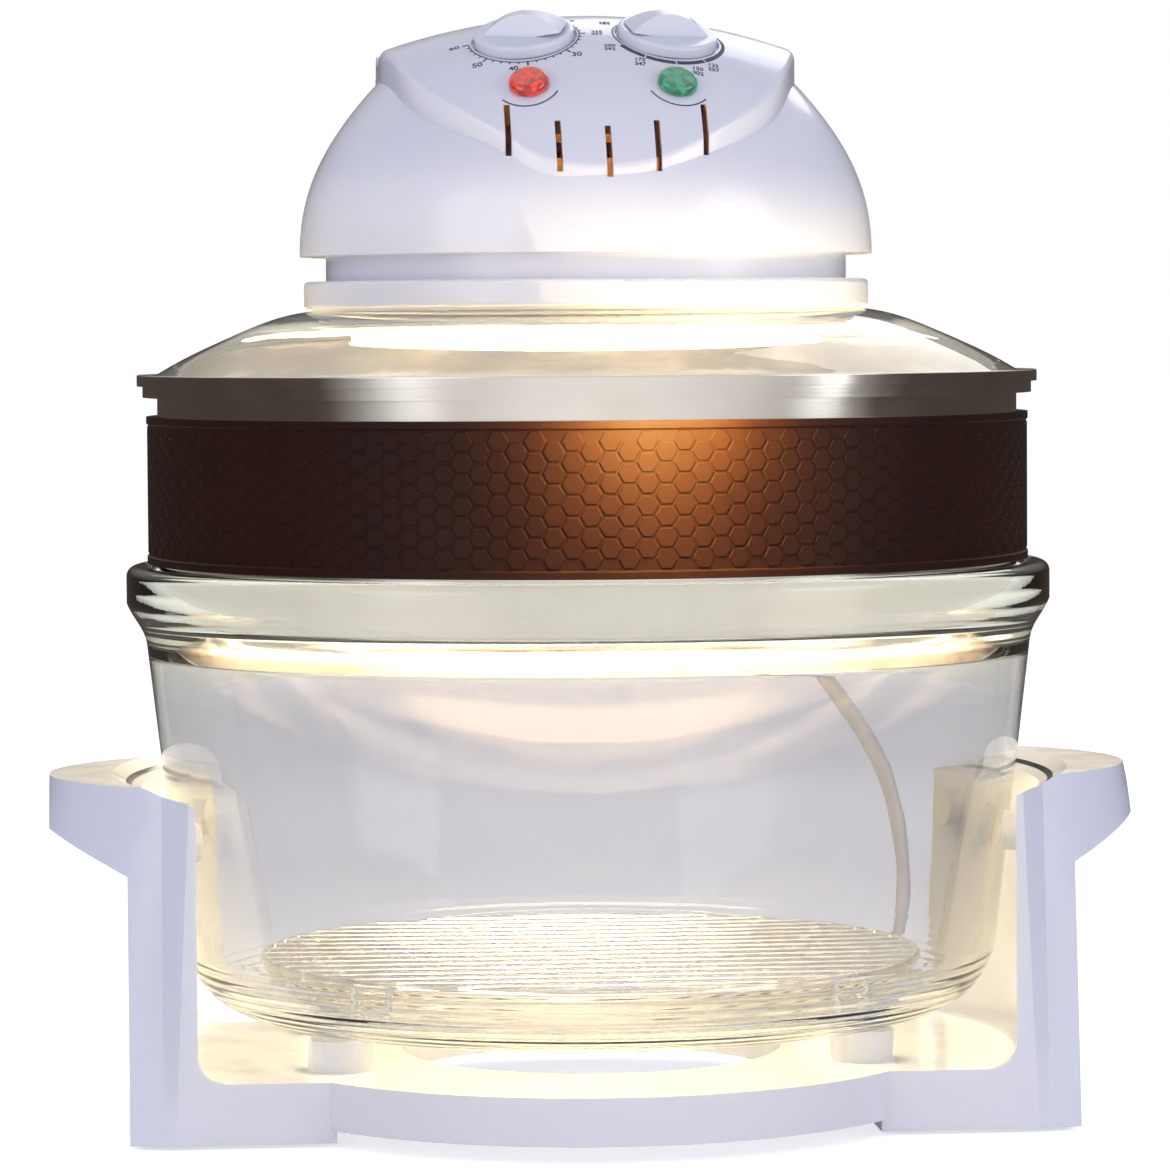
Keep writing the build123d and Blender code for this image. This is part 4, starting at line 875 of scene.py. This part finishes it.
class OVEN_OT_bowl(OvenStep, bpy.types.Operator):
    """Pressed glass bowl with ringed bottom, and the wire rack"""
    bl_idname = "oven.bowl"
    bl_label = "Bowl and rack"

    def build(self, sizes, colours):
        # from the middle of the bottom up the outside, over the rim, and down the inside
        outline = ringed(rounded(BOWL_OUTSIDE), *RINGS, sizes.ripple / MM)
        outline += [point.to_2d() for point in interpolate_bezier(*BOWL_NECK)[1:]]
        outline = [(x * MM, z * MM) for x, z in outline + rounded(BOWL_INSIDE)[1:]]
        bowl = new_piece("glass_bowl_pressed", turned("glass_bowl_pressed", outline, BOWL_STEPS),
                         shared(bowl_glass), "bowl")
        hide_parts("glass_bowl")
        dress(chrome_wire, "low_rack")


DRUM = 156.7                  # radius that the pads stand on, just under the sleeve's skin
SUNK = 0.1                    # how deep that is
FIRST_ROW = 6.6               # from the sleeve's lower edge up to the middle of the lowest pad


class OVEN_OT_ring(OvenStep, bpy.types.Operator):
    """Steel extender ring and the silicone sleeve with its hexagon pads"""
    bl_idname = "oven.ring"
    bl_label = "Ring and sleeve"

    def build(self, sizes, colours):
        dress(polished_steel, "extender_ring", "clamp_ring")
        dress(dark_silicone, "silicone_sleeve")
        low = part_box("silicone_sleeve")[0]
        pattern = {"Columns": sizes.columns, "Rows": sizes.rows, "Drum Radius": DRUM * MM,
                   "Lowest": low.z + FIRST_ROW * MM, "Row Pitch": sizes.pad_pitch,
                   "Pad Radius": sizes.pad, "Pad Height": sizes.pad_height + SUNK * MM}
        grown("sleeve_pads", pad_tree(shared(dark_silicone)), pattern, "ring")


class OVEN_OT_lid(OvenStep, bpy.types.Operator):
    """Glass lid with its gasket, lamp, reflector and guard"""
    bl_idname = "oven.lid"
    bl_label = "Lid and lamp"

    def build(self, sizes, colours):
        dress(lid_glass, "glass_lid")
        dress(soft_rubber, "lid_gasket")
        dress(spun_aluminium, "lamp_housing", "convection_fan")
        dress(lit_quartz, "halogen_lamp")
        dress(steatite, "lamp_holders")
        dress(chrome_wire, "lamp_guard")
        dress(fibre_board, "heat_shield")


class OVEN_OT_head(OvenStep, bpy.types.Operator):
    """Head mouldings, carrying handle, knobs and lenses"""
    bl_idname = "oven.head"
    bl_label = "Head and controls"

    def build(self, sizes, colours):
        dress(moulded_abs, "head_base", "head_shell", "timer_knob", "thermostat_knob",
              "carry_handle")
        # each lens's glow is painted light, standing for its lit neon bulb
        for node, name, code, glow in (("power_lens", "red_acrylic_moulded", "#e02a14", 0.12),
                                       ("heat_lens", "green_acrylic_moulded", "#1c9068", 0.1)):
            lens = lens_plastic(name, rgb(code), glow)
            frame["nodes"][node].material_slots[0].material = lens


class OVEN_OT_works(OvenStep, bpy.types.Operator):
    """Finishes of the motor, fans, switches and other works inside the head"""
    bl_idname = "oven.works"
    bl_label = "Works"

    def build(self, sizes, colours):
        dress(zinc_steel, "motor_bracket", "motor_stator", "rotor", "timer_body", "thermostat_body",
              "timer_shaft", "thermostat_shaft", "handle_pins")
        dress(copper_winding, "motor_coil")
        dress(black_moulding, "safety_switch", "cooling_fan", "switch_plunger")
        dress(neon_glass, "neon_lamps")
        dress(cord_sheath, "terminal_block")


class OVEN_OT_dials(OvenStep, bpy.types.Operator):
    """Rings, ticks and figures printed round the knobs, and an arc under each lens"""
    bl_idname = "oven.dials"
    bl_label = "Dial print"

    def build(self, sizes, colours):
        height = sizes.print_height / MM
        timer, heat = bmesh.new(), bmesh.new()
        band(timer, *THIN_RING, TIMER_START, TIMER_START - 6 * TIMER_STEP)
        for minute in range(0, 61, 2):
            tick = TIMER_START - minute * TIMER_STEP / 10
            width, reach = SHORT_TICK if minute % 10 else LONG_TICK
            band(timer, TICK_START, reach, tick - width / 2, tick + width / 2)
        # twenty has no figure, for want of room between the dials
        for minute in (0, 10, 30, 40, 50, 60):
            share = ASIDE_FIGURE if minute in ASIDE else 1.0
            spot = beside(minute, TIMER_OVAL, TIMER_START - minute * TIMER_STEP / 10)
            written(timer, str(minute), share * height, spot)
        inner, first = THIN_RING[0], HEAT_START
        band(heat, *THIN_RING, first - 3 * HEAT_STEP, first - 5 * HEAT_STEP - HEAT_OVERRUN)
        pieces, turn, loss = TAIL
        for k in range(pieces):
            start = first + TAIL_START + turn * k
            band(heat, inner, BOLD_RING - loss * k, start, start + turn + OVERLAP)
        band(heat, inner, BOLD_RING, first + BOLD_GAP, first + TAIL_START)
        for k in range(3):
            band(heat, inner, BOLD_RING, first - (k + 1) * HEAT_STEP + BOLD_GAP,
                 first - k * HEAT_STEP - BOLD_GAP)
        for k, degrees in enumerate((125, 150, 175, 200, 225, 250)):
            figures = f"{degrees}\n{round(degrees * 9 / 5 + 32)}"
            spot = beside(degrees, HEAT_OVAL, first - k * HEAT_STEP)
            written(heat, figures, HEAT_FIGURE * height, spot)
        printed("timer_print", timer, -KNOB_PLACE[0], KNOB_PLACE[1])
        printed("heat_print", heat, *KNOB_PLACE)
        for side, name in ((-1, "power_print"), (1, "signal_print")):
            under = bmesh.new()
            band(under, *LENS_ARC)
            printed(name, under, side * (LENS_PLACE[0] + LENS_SHIFT[0]),
                    LENS_PLACE[1] + LENS_SHIFT[1])


FLOOR = 25.0                  # metres from its middle to its edge
TARGET = Vector((0, 0, 0.2))  # where the large lights aim, in metres
# name, place in metres, width, share of the key light's power
LIGHTS = (("key_left", (-1.6, -1.4, 0.9), 1.4, 1.0), ("key_right", (1.7, -1.1, 0.8), 1.2, 1.0),
          ("top", (0.0, 0.2, 2.2), 1.8, 0.3), ("back", (0.6, 1.6, 1.4), 1.2, 0.8))
WARM, AMBER, GOLD = (rgb(code)[:3] for code in ("#ffe6c2", "#ff9a3c", "#ffea80"))
# the halogen tube's own light, down into the bowl, out on the collar, inside the head and on
# the sleeve: name, place and aim in millimetres, radius, power, colour
GLOWS = (("glow_bowl", (0, 0, 261), (0, 0, 0), 70.0, 1.9, WARM),
         ("glow_front", (0, -225, 290), (0, 0, 298), 70.0, 0.05, WARM),
         ("glow_slots", (0, -40, 326), (0, -200, 336), 15.0, 0.06, AMBER),
         ("glow_sleeve", (12, -175, 264), (12, -152, 244), 22.0, 0.8, GOLD))
# and round its housing: strips side by side that make one band, in millimetres
STRIPS = 24
STRIP = (36, 10)              # width and height of one
STRIP_RADIUS, STRIP_HEIGHT = 136, 260
STRIP_AIM = (0, 0, 284)
STRIP_POWER = 0.043
WHITE_SKY = (1.39, 1.39, 1.39, 1.0)
BRIGHT_ROOM = (1.7, 1.66, 1.58, 1.0)
SKY_POWER = 0.72


def aimed_light(name, place, target, power):
    """A round area light that looks at a point; place and target are in metres."""
    lamp = bpy.data.lights.new(name, "AREA")
    lamp.shape, lamp.energy = "DISK", power
    holder = placed(name, lamp)
    holder.location = place
    holder.rotation_euler = (target - Vector(place)).to_track_quat("-Z", "Y").to_euler()
    return holder


class OVEN_OT_studio(OvenStep, bpy.types.Operator):
    """Pale floor under an even white sky, soft lights, and the lamp's own glow"""
    bl_idname = "oven.studio"
    bl_label = "Studio"

    def build(self, sizes, colours):
        scene = bpy.context.scene
        shape = bmesh.new()
        bmesh.ops.create_grid(shape, x_segments=8, y_segments=8, size=FLOOR)
        floor = placed("studio_floor", mesh_from(shape, "studio_floor"))
        floor.data.materials.append(studio_paper())
        floor.visible_glossy = False
        scene.world = self.sky()
        for name, place, width, share in LIGHTS:
            aimed_light(name, place, TARGET, colours.key * share).data.size = width
        self.glow(floor, colours.lamp_glow / LAMP_GLOW)
        scene.view_settings.view_transform = "Standard"

    @staticmethod
    def sky():
        """A world that is white to look at, and a dim room in mirrors."""
        world = bpy.data.worlds.new("studio_air")
        world.use_nodes = True
        tree = world.node_tree
        tree.nodes.clear()
        # the room has a bright ceiling, front and floor; matt pieces get light that cools upwards
        heading = add_node(tree, "ShaderNodeTexCoord").outputs["Generated"]
        split = add_node(tree, "ShaderNodeSeparateXYZ", {"Vector": heading}).outputs
        rise = spread(tree, split["Z"], 0.0, 0.6, start=0.05, end=0.5)
        front = spread(tree, split["Y"], 0.9, 0.0, start=-1.0, end=-0.25)
        sink = spread(tree, split["Z"], 0.4, 0.0, start=-0.6, end=-0.1)
        ray = add_node(tree, "ShaderNodeLightPath").outputs
        upper = add_node(tree, "ShaderNodeMath", {0: rise, 1: front}, operation="MAXIMUM")
        bright = add_node(tree, "ShaderNodeMath", {0: upper.outputs["Value"], 1: sink},
                          operation="MAXIMUM")
        mirrored = add_node(tree, "ShaderNodeMath",
                            {0: ray["Is Glossy Ray"], 1: ray["Is Reflection Ray"]},
                            operation="MULTIPLY")
        straight = add_node(tree, "ShaderNodeMath",
                            {0: ray["Is Camera Ray"], 1: ray["Is Transmission Ray"]},
                            operation="MAXIMUM")
        thrown = add_node(tree, "ShaderNodeMix", {"Factor": mirrored.outputs["Value"]},
                          data_type="RGBA")
        cooling = spread(tree, split["Z"], 0.0, 1.0, start=0.0, end=0.9)
        tone(tree, thrown, cooling, rgb("#f6f2f6"), rgb("#c0c8e2"), 6)
        tone(tree, thrown, bright.outputs["Value"], rgb("#5a4f49"), BRIGHT_ROOM, 7)
        seen = add_node(tree, "ShaderNodeMix",
                        {"Factor": straight.outputs["Value"], 6: thrown.outputs[2]},
                        {7: WHITE_SKY}, data_type="RGBA")
        air = add_node(tree, "ShaderNodeBackground", {"Color": seen.outputs[2]},
                       {"Strength": SKY_POWER})
        add_node(tree, "ShaderNodeOutputWorld", {"Surface": air.outputs["Background"]})
        return world

    @staticmethod
    def glow(floor, strength):
        """The halogen tube's light, on the oven alone."""
        glows = list(GLOWS)
        for k in range(STRIPS):
            place = around(STRIP_RADIUS, math.radians(360 / STRIPS * (k + 0.5)), STRIP_HEIGHT)
            glows.append((f"glow_lid_{k}", place, STRIP_AIM, 0.0, STRIP_POWER, WARM))
        lit_only = {name: bpy.data.collections.new(name + "_only") for name in ("sleeve", "oven")}
        for piece in bpy.context.scene.collection.all_objects:
            if piece.type in {"MESH", "CURVE"} and piece != floor:
                lit_only["oven"].objects.link(piece)
                if piece.name in ("silicone_sleeve", "sleeve_pads"):
                    lit_only["sleeve"].objects.link(piece)
        for name, place, target, radius, power, colour in glows:
            holder = aimed_light(name, Vector(place) * MM, Vector(target) * MM, power * strength)
            lamp = holder.data
            lamp.size, lamp.color = 2 * radius * MM, colour
            if name.startswith("glow_lid"):
                lamp.shape, lamp.size, lamp.size_y = "RECTANGLE", *(side * MM for side in STRIP)
            holder.visible_camera = holder.visible_transmission = False
            holder.visible_glossy = name.startswith(("glow_bowl", "glow_lid"))
            # the sleeve is a little translucent, so one glow is for it alone
            lit = "sleeve" if name == "glow_sleeve" else "oven"
            holder.light_linking.receiver_collection = lit_only[lit]


class OVEN_PT_build(bpy.types.Panel):
    """The steps of the build, in order"""
    bl_label = "Halogen oven"
    bl_idname = "OVEN_PT_build"
    bl_space_type = "VIEW_3D"
    bl_region_type = "UI"
    bl_category = "Oven"

    def draw(self, context):
        for step in STEPS:
            self.layout.operator(step.bl_idname)
        for group in (context.scene.oven_sizes, context.scene.oven_colours):
            for name in type(group).__annotations__:
                self.layout.prop(group, name)


STEPS = (OVEN_OT_camera, OVEN_OT_cord, OVEN_OT_stand, OVEN_OT_bowl, OVEN_OT_ring, OVEN_OT_lid,
         OVEN_OT_head, OVEN_OT_works, OVEN_OT_dials, OVEN_OT_studio)
CLASSES = (OvenSizes, OvenColours, *STEPS, OVEN_PT_build)


def register():
    """Adds the steps, their settings and their panel."""
    for kind in CLASSES:
        bpy.utils.register_class(kind)
    bpy.types.Scene.oven_sizes = PointerProperty(type=OvenSizes)
    bpy.types.Scene.oven_colours = PointerProperty(type=OvenColours)


def unregister():
    """Takes them away again."""
    del bpy.types.Scene.oven_colours
    del bpy.types.Scene.oven_sizes
    for kind in reversed(CLASSES):
        bpy.utils.unregister_class(kind)


def main():
    """Builds the oven step by step."""
    register()
    for step in STEPS:
        group, name = step.bl_idname.split(".")
        getattr(getattr(bpy.ops, group), name)()


if __name__ == "__main__":
    main()
